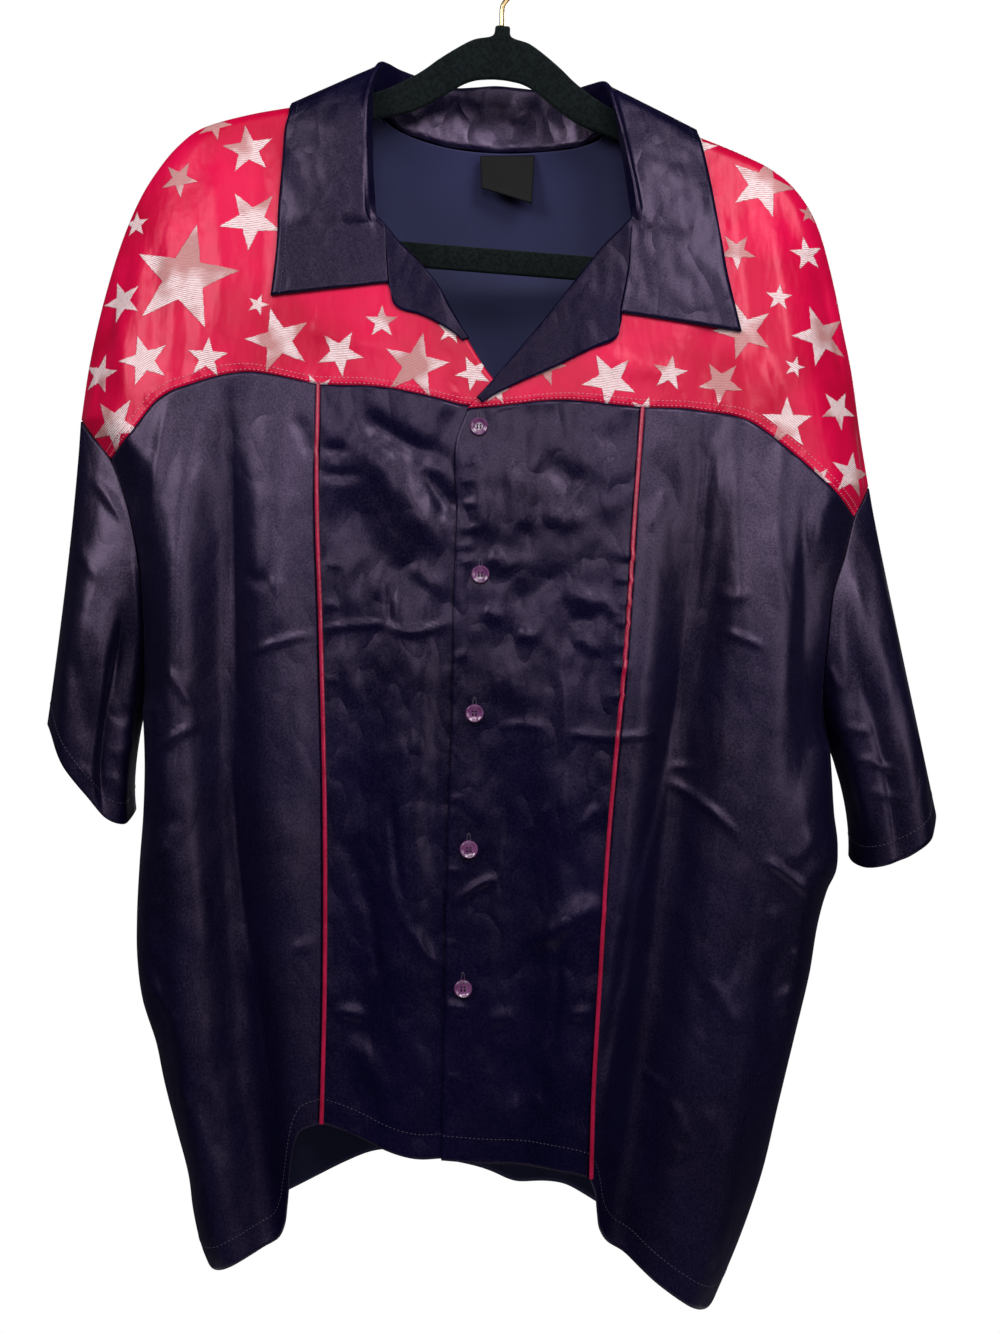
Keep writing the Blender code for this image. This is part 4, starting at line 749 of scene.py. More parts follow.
def faded(t, share):
    """1 along a line from 0 to 1, and down to 0 over a share of it at both ends."""
    return ease(t / share) * ease((1 - t) / share)


def read_rows(grid, where):
    """A grid read between its rows on cubic curves."""
    slope = np.gradient(grid, axis=0)
    cell = np.clip(np.floor(where).astype(int), 0, len(grid) - 2)
    t = (where - cell).reshape(-1, *[1] * (grid.ndim - 1))
    return cubic(t, grid[cell], grid[cell + 1], slope[cell], slope[cell + 1])


def finer(grid, cell=FINE_CELL, even=0.65):
    """The same grid with more rows and columns, about a fine cell apart."""
    for axis in (0, 1):
        lines = np.moveaxis(grid, axis, 0)
        steps = np.linalg.norm(np.diff(lines, axis=0), axis=-1)
        steps = steps.reshape(len(steps), -1).mean(axis=1)
        length = running(steps)
        index = np.arange(len(length), dtype=float)
        share = even * length / length[-1] + (1 - even) * index / index[-1]
        count = max(int(round(length[-1] / cell)), len(index))
        where = np.interp(np.linspace(0, 1, count + 1), share, index)
        grid = np.moveaxis(read_rows(lines, where), 0, axis)
    return grid


def stations(rows, columns, where):
    """Points along a table's rows, by row number: where 1.5 is half way from row 1 to row 2."""
    at = np.arange(len(rows[columns[0]]), dtype=float)
    return joined(*[smooth(at, rows[name], where) for name in columns])


def run_along(points, fractions):
    """Points at fractions of the length of a path."""
    length = running(np.linalg.norm(np.diff(points[:, :3], axis=0), axis=1))
    return joined(*[np.interp(fractions * length[-1], length, points[:, k])
                    for k in range(points.shape[1])])


def path(rows, columns, fractions, fine=12):
    """A table's curve through its rows, read at fractions of its length."""
    count = len(rows[columns[0]])
    dense = stations(rows, columns, np.linspace(0, count - 1, (count - 1) * fine + 1))
    return run_along(dense, fractions)


def rows_of(rows, *columns):
    return joined(*[rows[name] for name in columns])


def shoulder_line(side):
    return stations(SHOULDER[side], ("x", "drop"), np.linspace(0, SHOULDER_CELLS, 81))


CREST = np.concatenate([shoulder_line("right")[::-1], shoulder_line("left")])


def crest_drop(x):
    return np.interp(x, CREST[:, 0], CREST[:, 1])


def ring_points(rows, where):
    """A closed smooth loop through a sleeve table's stations."""
    last = len(rows["x"]) - 1
    rise = rows.get("rise", np.zeros(last + 1))
    front = joined(rows["x"], rows["drop"], -rows["front"])
    back = joined(rows["x"], rows["drop"] - rise, rows["back"])[-2:0:-1]
    loop = np.concatenate([front, back])
    cell = np.floor(where).astype(int)
    t = (where - cell)[:, None]
    before, here, after, beyond = (loop[(cell + k) % len(loop)] for k in (-1, 0, 1, 2))
    return 0.5 * (2 * here + (after - before) * t
                  + (2 * before - 5 * here + 4 * after - beyond) * t ** 2
                  + (3 * here - before - 3 * after + beyond) * t ** 3)


def side_tables():
    """For each side: how far out the edge of the cloth lies at a drop, and how deep it is there."""
    found = {}
    for side in ("right", "left"):
        line = shoulder_line(side)
        crest = joined(line[:, 1], line[:, 0], 0 * line[:, 0], 0 * line[:, 0])
        where = np.linspace(0, ARMHOLE_CELLS, 91)
        arm = ring_points(ARMHOLE[side], where)
        back = ring_points(ARMHOLE[side], 2 * ARMHOLE_CELLS - where)
        arm = joined(arm[:, 1], arm[:, 0], -arm[:, 2], back[:, 2])
        drops = np.linspace(SIDE[side]["drop"][0], SIDE[side]["drop"][-1], 120)
        skirt = joined(drops, x_at(SIDE[side], drops), 0 * drops, 0 * drops)
        rows = np.concatenate([crest[:-1], arm, skirt[1:]])
        found[side] = rows[np.argsort(rows[:, 0], kind="stable")]
    return found


EDGES = side_tables()


def edge_x(side, drop):
    return np.interp(drop, EDGES[side][:, 0], EDGES[side][:, 1])


def edge_depth(side, drop, face):
    return np.interp(drop, EDGES[side][:, 0], EDGES[side][:, 2 if face == "front" else 3])


def fold_heights(folds, x, drop):
    """The sum of the large ridges and valleys at a place."""
    total = np.zeros(np.broadcast(x, drop).shape)
    for top, bottom, x_top, x_middle, x_bottom, reach, height in zip(*folds.values()):
        t = np.clip((drop - top) / (bottom - top), 0, 1)
        away = (x - bowed(t, x_top, x_middle, x_bottom)) / reach
        total = total + height * faded(t, FOLD_FADE) * np.exp(-away ** 2)
    return total


def crease_heights(creases, x, drop):
    """The sum of small creases: each runs start, middle, end, leans to one side and fades out."""
    shape = np.broadcast(x, drop).shape
    x, drop = np.broadcast_to(x, shape).ravel(), np.broadcast_to(drop, shape).ravel()
    total = np.zeros(x.shape)
    t = np.linspace(0, 1, CREASE_STEPS + 1)
    for x0, d0, x1, d1, x2, d2, reach, height, lean in creases:
        px, pd = bowed(t, x0, x1, x2), bowed(t, d0, d1, d2)
        pad = 3 * reach
        near = np.flatnonzero((x > px.min() - pad) & (x < px.max() + pad)
                              & (drop > pd.min() - pad) & (drop < pd.max() + pad))
        if not len(near):
            continue
        nearest = np.full(len(near), 1e9)
        signed, along = np.zeros(len(near)), np.zeros(len(near))
        for k in range(CREASE_STEPS):
            ax, ad = px[k + 1] - px[k], pd[k + 1] - pd[k]
            bx, bd = x[near] - px[k], drop[near] - pd[k]
            share = np.clip((bx * ax + bd * ad) / (ax * ax + ad * ad), 0, 1)
            away = (bx - share * ax) ** 2 + (bd - share * ad) ** 2
            closer = away < nearest
            nearest = np.where(closer, away, nearest)
            signed = np.where(closer, np.sign(ax * bd - ad * bx), signed)
            along = np.where(closer, (k + share) / CREASE_STEPS, along)
        away = np.sqrt(nearest) / reach
        wide = ease((reach - SMALL_REACH) / (WIDE_REACH - SMALL_REACH))
        lift = SMALL_LIFT + (WIDE_LIFT - SMALL_LIFT) * wide
        total[near] += (lift * height * faded(along, CREASE_FADE) * np.exp(-away ** 2)
                        * (1 + lean * np.tanh(signed * away)))
    return total.reshape(shape)


def relief(x, drop, face):
    """The height of all the folds and creases at a place."""
    if face == "front":
        return fold_heights(FRONT_FOLDS, x, drop) + crease_heights(FRONT_CREASES, x, drop)
    return fold_heights(BACK_FOLDS, x, drop) + crease_heights(BACK_CREASES, x, drop)


def depth(x, drop, face, grow=0.0):
    """How far the outer side of the cloth stands from the hanger's plane. Grown, it is moved out.

    The cloth rounds off towards its edges, and the crest's kink is spread out below it.
    """
    crest = crest_drop(x)
    below = drop - crest
    even = sum(crest_drop(x + apart) for apart in CREST_SPAN) / len(CREST_SPAN) - crest
    even = even * ease((below - CREST_SOFT_FROM) / CREST_SOFT_OVER)
    below = np.maximum(below - even + grow, 1e-6)
    from_right = np.maximum(x - edge_x("right", drop) + grow, 1e-6)
    from_left = np.maximum(edge_x("left", drop) - x + grow, 1e-6)
    inside = 1 / np.sqrt(from_right ** -2 + from_left ** -2 + below ** -2)
    full = smooth(SPREAD["below"], SPREAD[face], below) + relief(x, drop, face) + grow
    at_edge = np.where(x < 0, edge_depth("right", drop, face), edge_depth("left", drop, face))
    outwards = ease((np.abs(x) - ARM_FROM) / ARM_BLEND)
    outwards = NECK_ROUNDING + (EDGE_ROUNDING - NECK_ROUNDING) * outwards
    reach = np.maximum(outwards, EDGE_ROUNDING * ease((drop - CHEST_FROM) / CHEST_BLEND))
    soft = 0.5 + 0.5 * np.clip(at_edge / THICK_EDGE, 0, 1)
    rounding = (1 - (1 - np.clip(inside / reach, 0, 1)) ** 2) ** soft
    return at_edge + (full - at_edge) * rounding


def surface(x, drop, face, grow=0.0):
    """Points and outward normals of the front or the back of the shirt."""
    sign = -1.0 if face == "front" else 1.0
    across, down = [(depth(x + right, drop + low, face, grow)
                     - depth(x - right, drop - low, face, grow)) / (2 * SLOPE_STEP)
                    for right, low in ((SLOPE_STEP, 0), (0, SLOPE_STEP))]
    normals = unit(joined(-across, sign * np.ones_like(across), down))
    return joined(x, sign * depth(x, drop, face, grow), -drop), normals


def coons(top, bottom, left, right, across, down, fade=1):
    """A grid between four edges that meet at its corners. Rows run down, columns across."""
    u = across[None, :, None]
    v = down[:, None, None]
    left_line = (1 - v[:, 0]) * left[0] + v[:, 0] * left[-1]
    right_line = (1 - v[:, 0]) * right[0] + v[:, 0] * right[-1]
    return ((1 - v) * top[None] + v * bottom[None] + (1 - u) ** fade * (left - left_line)[:, None]
            + u ** fade * (right - right_line)[:, None])


def towards_centre(side):
    return 1.0 if side == "right" else -1.0


def with_ends(points, first, last):
    points = points.copy()
    points[0], points[-1] = first, last
    return points


# ---------------------------------------------------------------- the panels' grids

def outer_spacing(count):
    """Fractions that close up towards 1."""
    return 1 - (1 - np.linspace(0, 1, count + 1)) ** EDGE_CLUSTER


def yoke_seam(side):
    """Stations of x and drop along the yoke's lower seam, and the small step down off it."""
    dense = path(YOKE_SEAM[side], ("x", "drop"), np.linspace(0, 1, 241))
    split = int(np.argmin(np.abs(dense[:, 0] - PIPING[side]["x"][0])))
    centre = run_along(dense[: split + 1], np.linspace(0, 1, CENTRE_CELLS + 1))
    found = np.concatenate([centre, run_along(dense[split:], outer_spacing(SIDE_CELLS))[1:]])
    along = np.gradient(found, axis=0)
    down = unit(joined(-along[:, 1], along[:, 0]) * -towards_centre(side))
    return found, down * SEAM_GAP / 2


def yoke_top(side):
    """The yoke's upper edge: its first shoulder cells are longer and hold three columns each."""
    stops = np.cumsum([0, 3, 3] + [2] * (SHOULDER_CELLS - 2))
    cells = np.interp(np.arange(CENTRE_CELLS + SIDE_CELLS + 1), stops, np.arange(len(stops)))
    return stations(SHOULDER[side], ("x", "drop"), cells)


def armhole_edge(side, gap):
    """The armhole, top fold to underarm: x, drop and depth, moved off the seam."""
    edge = rows_of(ARMHOLE[side], "x", "drop", "front")
    edge[:, :2] += armhole_away(side) * gap
    return edge


def armhole_away(side):
    """Directions of x and drop that lead from the body into the sleeve, square to the seam."""
    along = np.gradient(rows_of(ARMHOLE[side], "x", "drop"), axis=0)
    return unit(joined(-along[:, 1], along[:, 0]) * towards_centre(side))


def lap_offset(x, drop):
    """How far the underlapping front steps back behind the buttonhole edge."""
    return LAP_STEP * ease((x - x_at(PLACKET, drop) + LAP_BEFORE_EDGE + LAP_BLEND) / LAP_BLEND)


def close_edge(points, column, side, face):
    """One edge of a grid, set on the side fold so that front and back all but touch."""
    sign = -1 if face == "front" else 1
    deep = edge_depth(side, -points[:, column, 2], face)
    points[:, column, 1] = sign * np.maximum(deep, CLOSED_GAP / 2)


def front_points(side, plane):
    """Points and normals of a front panel's grid of x and drop."""
    points, normals = surface(plane[..., 0], plane[..., 1], "front")
    if side == "right":
        points = points - normals * lap_offset(plane[..., 0], plane[..., 1])[..., None]
    return points, normals


def onto_crest(plane, columns=slice(None)):
    """The grid's first row is set on the shoulder line, and the rows under it give way softly."""
    plane = plane.copy()
    off = crest_drop(plane[0, columns, 0]) - plane[0, columns, 1]
    fade = 1 - ease(np.linspace(0, 4, len(plane)))
    plane[:, columns, 1] += off[None] * fade[:, None]
    return plane


def yoke_plane(side):
    """The yoke's grid, between its seam, its neckline, the shoulder line and the armhole."""
    seam, step = yoke_seam(side)
    bottom = seam - step
    top = yoke_top(side)
    neck = rows_of(V_EDGE[side], "x", "drop")
    edge = run_along(armhole_edge(side, -SEAM_GAP / 2)[: YOKE_EDGE_CELLS + 1], YOKE_ROWS)[:, :2]
    top, bottom = with_ends(top, neck[0], edge[0]), with_ends(bottom, bottom[0], edge[-1])
    neck[-1] = bottom[0]
    across = np.linspace(0, 1, CENTRE_CELLS + SIDE_CELLS + 1)
    return onto_crest(finer(coons(top, bottom, neck, edge, across, YOKE_ROWS)))


def yoke_points(side):
    """The yoke, closed up against the back at its shoulder and at its armhole."""
    points, _ = front_points(side, yoke_plane(side))
    points[0, :, 1] = -CLOSED_GAP / 2
    close_edge(points, -1, side, "front")
    return points


def hem_stations(side, part):
    """The front hem's stations of one panel, centre or side, cut at the piping."""
    hem = path(FRONT_HEM[side], ("x", "drop"), np.linspace(0, 1, 401))
    split = int(np.argmin(np.abs(hem[:, 0] - PIPING[side]["x"][-1])))
    if part == "centre":
        return run_along(hem[: split + 1], np.linspace(0, 1, CENTRE_CELLS + 1))
    return run_along(hem[split:], outer_spacing(SIDE_CELLS))


def piping_edge(side, top_drop, bottom_drop, away):
    """A panel's edge down the piping, moved off it."""
    drops = top_drop + (bottom_drop - top_drop) * FRONT_ROWS
    return joined(x_at(PIPING[side], drops) + away, drops)


def front_centre_plane(side):
    """The grid between the front edge and the piping; the right one runs on under the left."""
    seam, step = yoke_seam(side)
    top, bottom = (seam + step)[: CENTRE_CELLS + 1], hem_stations(side, "centre")
    away = towards_centre(side) * SEAM_GAP / 2
    seam = piping_edge(side, top[-1, 1], bottom[-1, 1], away)
    drops = top[0, 1] + (bottom[0, 1] - top[0, 1]) * FRONT_ROWS
    lap = LAP_WIDTH if side == "right" else 0
    front = joined(x_at(PLACKET, drops) + lap, drops)
    top, bottom = with_ends(top, front[0], seam[0]), with_ends(bottom, front[-1], seam[-1])
    across = np.linspace(0, 1, CENTRE_CELLS + 1)
    return finer(coons(top, bottom, front, seam, across, FRONT_ROWS))


def side_edge(side, hem_drop):
    """The body's outer edge from shoulder tip to hem."""
    arm = armhole_edge(side, -SEAM_GAP / 2)[:, :2]
    low = np.linspace(ARMHOLE[side]["drop"][-1], hem_drop, SKIRT_CELLS + 1)[1:]
    skirt = joined(x_at(SIDE[side], low) + towards_centre(side) * SEAM_GAP / 2, low)
    return np.concatenate([arm, skirt])


def front_side_plane(side):
    """The grid between the piping and the armhole and side fold."""
    seam, step = yoke_seam(side)
    top, bottom = (seam + step)[CENTRE_CELLS:], hem_stations(side, "side")
    away = -towards_centre(side) * SEAM_GAP / 2
    seam = piping_edge(side, top[0, 1], bottom[0, 1], away)
    edge = side_edge(side, bottom[-1, 1])[YOKE_EDGE_CELLS:]
    edge[0] += unit(edge[1] - edge[0]) * SEAM_GAP
    top, bottom = with_ends(top, seam[0], edge[0]), with_ends(bottom, seam[-1], edge[-1])
    across = np.linspace(0, 1, SIDE_CELLS + 1)
    return finer(coons(top, bottom, seam, edge, across, FRONT_ROWS))


def front_side_points(side):
    points, _ = front_points(side, front_side_plane(side))
    close_edge(points, -1, side, "front")
    return points


def back_points():
    """The back's grid, evened across so that its columns don't crowd under the neck's corners."""
    right = rows_of(SHOULDER["right"], "x", "drop")[::-1]
    left = rows_of(SHOULDER["left"], "x", "drop")
    top = np.concatenate([right, rows_of(BACK_NECK, "x", "drop")[1:-1], left])
    across = np.linspace(-1, 1, len(top))
    across = (1 + np.sign(across) * (1 - (1 - np.abs(across)) ** EDGE_CLUSTER)) / 2
    bottom = path(BACK_HEM, ("x", "drop"), across)
    right, left = side_edge("right", bottom[0, 1]), side_edge("left", bottom[-1, 1])
    top, bottom = with_ends(top, right[0], left[0]), with_ends(bottom, right[-1], left[-1])
    plane = finer(coons(top, bottom, right, left, across, BACK_ROWS, fade=3), cell=BACK_CELL)
    even = plane.copy()
    for _ in range(BACK_EVENING):
        even[:, 1:-1] = (even[:, :-2] + 2 * even[:, 1:-1] + even[:, 2:]) / 4
    plane += (even - plane) * ease(np.arange(len(plane)) / 12)[:, None, None]
    top_x, neck_x = plane[0, :, 0], BACK_NECK["x"]
    on_shoulder = (top_x < neck_x[0] + 0.5) | (top_x > neck_x[-1] - 0.5)
    plane = onto_crest(plane, np.flatnonzero(on_shoulder))
    points, _ = surface(plane[..., 0], plane[..., 1], "back")
    points[0, on_shoulder, 1] = CLOSED_GAP / 2
    close_edge(points, 0, "right", "back")
    close_edge(points, -1, "left", "back")
    return points


def grid_normals(points, closed=False):
    """Normals of a grid from its own neighbours; a closed grid's columns run round a tube."""
    if closed:
        across = (np.roll(points, -1, axis=1) - np.roll(points, 1, axis=1)) / 2
    else:
        across = np.gradient(points, axis=1)
    return unit(np.cross(across, np.gradient(points, axis=0)))


def sleeve_points(side):
    """The sleeve all round, from the armhole seam through its middle to its hem."""
    count = 2 * ARMHOLE_CELLS
    around = np.arange(0, count, 1 / SLEEVE_FINE)
    rings = [ring_points(rows[side], around) for rows in (ARMHOLE, SLEEVE_MIDDLE, SLEEVE_HEM)]
    down = np.linspace(0, 1, SLEEVE_ROWS + 1)[:, None]
    plane = bowed(down[..., None], *rings)
    points = joined(plane[..., 0], plane[..., 2], -plane[..., 1])
    away = armhole_away(side)
    away = np.concatenate([away, away[-2:0:-1], away[:1]]) * SLEEVE_SEAM_GAP
    away = read_rows(away, around)
    fade = 1 - ease(SLEEVE_SEAM_FADE * down)
    points[..., 0] += away[:, 0] * fade
    points[..., 2] -= away[:, 1] * fade
    normals = grid_normals(points, closed=True)
    if np.sum(normals * (points - points.mean(axis=1, keepdims=True))) < 0:
        normals = -normals
    height = np.zeros(points.shape[:2])
    for middle, reach, top, bottom, rise in zip(*SLEEVE_FOLDS[side].values()):
        apart = (around[None] - middle + count / 2) % count - count / 2
        share = np.clip((down - top) / (bottom - top), 0, 1)
        height = height + rise * faded(share, CREASE_FADE) * np.exp(-(apart / reach) ** 2)
    for face, sign in (("front", -1), ("back", 1)):
        creases = SLEEVE_CREASES[side + " " + face]
        small = crease_heights(creases, points[..., 0], -points[..., 2])
        small *= ease(sign * normals[..., 1] * 2) * ease(down * SLEEVE_CREASE_FADE)
        height = height + small
    return points + normals * height[..., None]


def neckline():
    """The neck opening's edge, right front over the back to left front, and a way into it."""
    lines, ways = [], []
    for part in ("right", "back", "left"):
        plane = rows_of(BACK_NECK if part == "back" else V_EDGE[part], "x", "drop")
        if part == "back":
            points, _ = surface(plane[:, 0], plane[:, 1], "back")
            along = -np.gradient(plane, axis=0)
        else:
            plane = plane[::-1] if part == "right" else plane
            points, _ = front_points(part, plane)
            along = np.gradient(plane, axis=0)
        points[:, 2] *= -1
        way = joined(-along[:, 1], 0 * along[:, 0], along[:, 0])
        if part == "back":
            points, way = points[1:-1], way[1:-1]
        else:
            way[-1 if part == "right" else 0] = (towards_centre(part), 0, 0)
        lines.append(points)
        ways.append(unit(way))
    return np.concatenate(lines), np.concatenate(ways)


def clear_of_shirt(points, lift=WALL + LAY_ON):
    """Points moved out until they stand a little off the front or the back."""
    x, y, drop = points[..., 0], points[..., 1], -points[..., 2]
    front = np.minimum(y, -depth(x, drop, "front", lift))
    back = np.maximum(y, depth(x, drop, "back", lift))
    return joined(x, np.where(y > 0, back, front), -drop)


def collar_points():
    """The collar's face: up the band from the neck seam, over the roll and down the leaf."""
    count = len(COLLAR["band"])
    where = np.append(np.arange(count - 1).repeat(2) + np.tile([0, 0.5], count - 1), count - 1)
    row = {name: smooth(np.arange(count, dtype=float), values, where)
           for name, values in COLLAR.items()}
    band = np.clip(row["band"], 0, 1)[:, None]
    line, inward = neckline()
    at = np.interp(where, np.arange(count), COLLAR["neck"])
    place, into = [joined(*[np.interp(at, np.arange(len(line)), found[:, k]) for k in range(3)])
                   for found in (line, inward)]
    upright = np.where(place[:, 1] > 1, np.clip(-into[:, 2], 0, 1), 0)[:, None]
    place = place + into * (WALL + COLLAR_SEAM_GAP - COLLAR_BACK_TUCK * upright)
    place[:, 1] -= WALL * upright[:, 0]
    seam = place * np.array([1, 1, -1])
    gorge, _ = surface(row["gorge_x"], row["gorge_drop"], "front", WALL + LAY_ON)
    seam = gorge + (seam - gorge) * band
    roll = joined(row["roll_x"], row["roll_y"], -row["roll_drop"])
    edge = clear_of_shirt(joined(row["edge_x"], row["edge_y"], -row["edge_drop"]))
    along = np.gradient(roll, axis=0)
    out = unit(joined(-along[:, 1], along[:, 0], 0 * along[:, 0])) * ROLL_HALF_WIDTH
    under = roll + np.array([0, 0, -ROLL_DEPTH])
    folded = [seam, (seam + under - out) / 2, under - out, roll, under + out]
    rows = []
    for number, point in enumerate(folded):
        flat = seam + (edge - seam) * COLLAR_ROW_APART * number
        rows.append(flat + (point - flat) * band)
    fold = rows[-1]
    for share in (0.25, 0.5, 0.75, 1.0):
        point = fold + (edge - fold) * share
        puff = LEAF_PUFF * math.sin(math.pi * share)
        point[:, 1] += puff * band[:, 0] * np.clip(row["roll_y"] / 8, -1, 1)
        rows.append(clear_of_shirt(point))
    points = finer(np.stack(rows, axis=0))
    on_leaf = np.linspace(0, 1, len(points)) > LEAF_START
    points[on_leaf] = clear_of_shirt(points[on_leaf])
    return points


# ---------------------------------------------------------------- pieces

def along_grid(points, axis):
    """How far each point of a grid lies along its rows or columns."""
    steps = np.linalg.norm(np.diff(points, axis=axis), axis=-1)
    zero = np.zeros_like(np.take(steps, [0], axis=axis))
    return np.concatenate([zero, np.cumsum(steps, axis=axis)], axis=axis)


def mesh_of(bm, name):
    """The finished bmesh as a mesh."""
    mesh = bpy.data.meshes.new(name)
    bm.to_mesh(mesh)
    bm.free()
    return mesh


def cloth_mesh(name, points, closed, outward):
    """A grid laid through points in millimetres, faced outwards.

    The UV map holds metres of cloth: across from the middle column, and up from the last row.
    """
    if closed:
        points = np.concatenate([points, points[:, :1]], axis=1)
    rows, columns = points.shape[:2]
    across, down = along_grid(points, 1), along_grid(points, 0)
    uv = joined(across - across[:, columns // 2: columns // 2 + 1], down[-1:] - down)
    bm = bmesh.new()
    bmesh.ops.create_grid(bm, x_segments=columns - 1, y_segments=rows - 1, size=1.0)
    mesh = mesh_of(bm, name)
    flat = np.zeros(len(mesh.vertices) * 3)
    mesh.vertices.foreach_get("co", flat)
    flat = flat.reshape(-1, 3)
    column = np.rint((flat[:, 0] + 1) / 2 * (columns - 1)).astype(int)
    row = np.rint((1 - flat[:, 1]) / 2 * (rows - 1)).astype(int)
    mesh.vertices.foreach_set("co", (points[row, column] * MM).ravel())
    corners = np.zeros(len(mesh.loops), dtype=np.int64)
    mesh.loops.foreach_get("vertex_index", corners)
    layer = mesh.uv_layers.new(name="UVMap")
    layer.data.foreach_set("uv", (uv[row, column][corners] * MM).ravel())
    bm = bmesh.new()
    bm.from_mesh(mesh)
    if closed:
        bmesh.ops.remove_doubles(bm, verts=bm.verts, dist=2e-6)
    bm.normal_update()
    if outward is None:
        centre = Vector((points.reshape(-1, 3).mean(axis=0) * MM).tolist())
        lean = sum((face.calc_center_median() - centre).dot(face.normal) for face in bm.faces)
    else:
        lean = sum(face.normal.dot(Vector(outward)) for face in bm.faces)
    if lean < 0:
        bmesh.ops.reverse_faces(bm, faces=bm.faces)
    bm.to_mesh(mesh)
    bm.free()
    mesh.shade_smooth()
    return mesh


def cloth(name, points, skins, node, wall=WALL, closed=False, outward=None):
    """A piece of cloth: its outside, its reverse and its rims, its cut and what carries it."""
    obj = add_piece(name, cloth_mesh(name, points, closed, outward), *skins)
    shell = obj.modifiers.new("wall", "SOLIDIFY")
    shell.thickness = wall * MM
    shell.offset = -1
    shell.use_rim = True
    shell.material_offset = len(skins) - 1
    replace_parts(obj, node)


def add_piece(name, data, *skins):
    """An object in the shirt's one body, with its skins."""
    obj = bpy.data.objects.new(name, data)
    for skin in skins:
        data.materials.append(skin)
    bpy.context.scene.collection.objects.link(obj)
    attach(obj, "root")
    return obj


def cord(name, route, radius, skin, node=None, resolution=3, closed=False):
    """A round cord or wire through the route's points."""
    curve = bpy.data.curves.new(name, "CURVE")
    curve.dimensions = "3D"
    curve.bevel_depth = radius * MM
    curve.bevel_resolution = resolution
    curve.use_fill_caps = not closed
    spline = curve.splines.new("POLY")
    spline.points.add(len(route) - 1)
    spline.use_cyclic_u = closed
    for point, place in zip(spline.points, route):
        point.co = (*(Vector(place) * MM), 1)
    obj = add_piece(name, curve, skin)
    if node:
        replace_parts(obj, node)


def stitched(name, lines, skin, length=2.1, gap=0.9, radius=0.3, proud=0.12):
    """Sewing thread along several routes: each route holds points and outward normals."""
    bm = bmesh.new()
    for points, normals in lines:
        run = running(np.linalg.norm(np.diff(points, axis=0), axis=1))

        def read(grid, at):
            return np.array([np.interp(at, run, grid[:, c]) for c in range(3)])

        count = max(int(run[-1] / (length + gap)), 1)
        for k in range(count):
            at = (k + 0.5) * run[-1] / count
            start, end = read(points, at - length / 2), read(points, at + length / 2)
            normal = read(normals, at)
            middle = Vector(((start + end) / 2 + normal * proud).tolist()) * MM
            way = Vector((end - start).tolist()).normalized()
            out = Vector(normal.tolist()).normalized()
            side = way.cross(out).normalized()
            turn = Matrix((way, side, side.cross(way) * -1)).transposed().to_4x4()
            scale = Matrix.Diagonal((length / 2 * MM, radius * MM, radius * 0.9 * MM, 1))
            bmesh.ops.create_icosphere(bm, subdivisions=1, radius=1.0,
                                       matrix=Matrix.Translation(middle) @ turn @ scale)
    bmesh.ops.recalc_face_normals(bm, faces=bm.faces)
    mesh = mesh_of(bm, name)
    mesh.shade_smooth()
    add_piece(name, mesh, skin)


# ---------------------------------------------------------------- materials

class Nodes:
    """A short way to write a material's nodes."""

    def __init__(self, name):
        self.material = bpy.data.materials.new(name)
        self.material.use_nodes = True
        self.tree = self.material.node_tree
        self.shader = self.tree.nodes["Principled BSDF"]

    def add(self, kind, values=None, **settings):
        node = self.tree.nodes.new(kind)
        for key, value in settings.items():
            setattr(node, key, value)
        for key, value in (values or {}).items():
            self.feed(node.inputs[key], value)
        return node

    def feed(self, socket, value):
        if isinstance(value, bpy.types.NodeSocket):
            self.tree.links.new(value, socket)
        else:
            socket.default_value = value

    def on_cloth(self):
        """The piece's own UV map."""
        return self.add("ShaderNodeUVMap", uv_map="UVMap").outputs[0]

    def in_place(self):
        return self.add("ShaderNodeTexCoord").outputs["Object"]

    def parts(self, where):
        return self.add("ShaderNodeSeparateXYZ", {0: where}).outputs

    def math(self, operation, *values):
        node = self.add("ShaderNodeMath", operation=operation)
        for socket, value in zip(node.inputs, values):
            self.feed(socket, value)
        return node.outputs[0]

    def plus(self, one, two):
        return self.math("ADD", one, two)

    def minus(self, one, two):
        return self.math("SUBTRACT", one, two)

    def times(self, one, two):
        return self.math("MULTIPLY", one, two)

    def vectors(self, operation, *values, **named):
        inputs = {**dict(enumerate(values)), **named}
        return self.add("ShaderNodeVectorMath", inputs, operation=operation).outputs[0]

    def mix(self, factor, one, two):
        node = self.add("ShaderNodeMix", data_type="RGBA")
        self.feed(node.inputs[0], factor)
        self.feed(node.inputs[6], one)
        self.feed(node.inputs[7], two)
        return node.outputs[2]

    def noise(self, where, scale, detail=2.0, stretch=None, rough=0.5):
        if stretch is not None:
            where = self.add("ShaderNodeMapping", {"Vector": where, "Scale": stretch}).outputs[0]
        return self.add("ShaderNodeTexNoise", {"Vector": where, "Scale": scale, "Detail": detail,
                                               "Roughness": rough}).outputs[0]

    def spread(self, value, low, high, to_low=0.0, to_high=1.0):
        return self.add("ShaderNodeMapRange", {"Value": value, "From Min": low, "From Max": high,
                                               "To Min": to_low, "To Max": to_high}).outputs[0]

    def bump(self, height, distance, strength=1.0, under=None):
        values = {"Height": height, "Distance": distance, "Strength": strength}
        if under is not None:
            values["Normal"] = under
        return self.add("ShaderNodeBump", values).outputs[0]

    def finish(self, **values):
        """Feeds the shader's sockets, with _ for a space, and gives the material."""
        for key, value in values.items():
            self.feed(self.shader.inputs[key.replace("_", " ")], value)
        return self.material


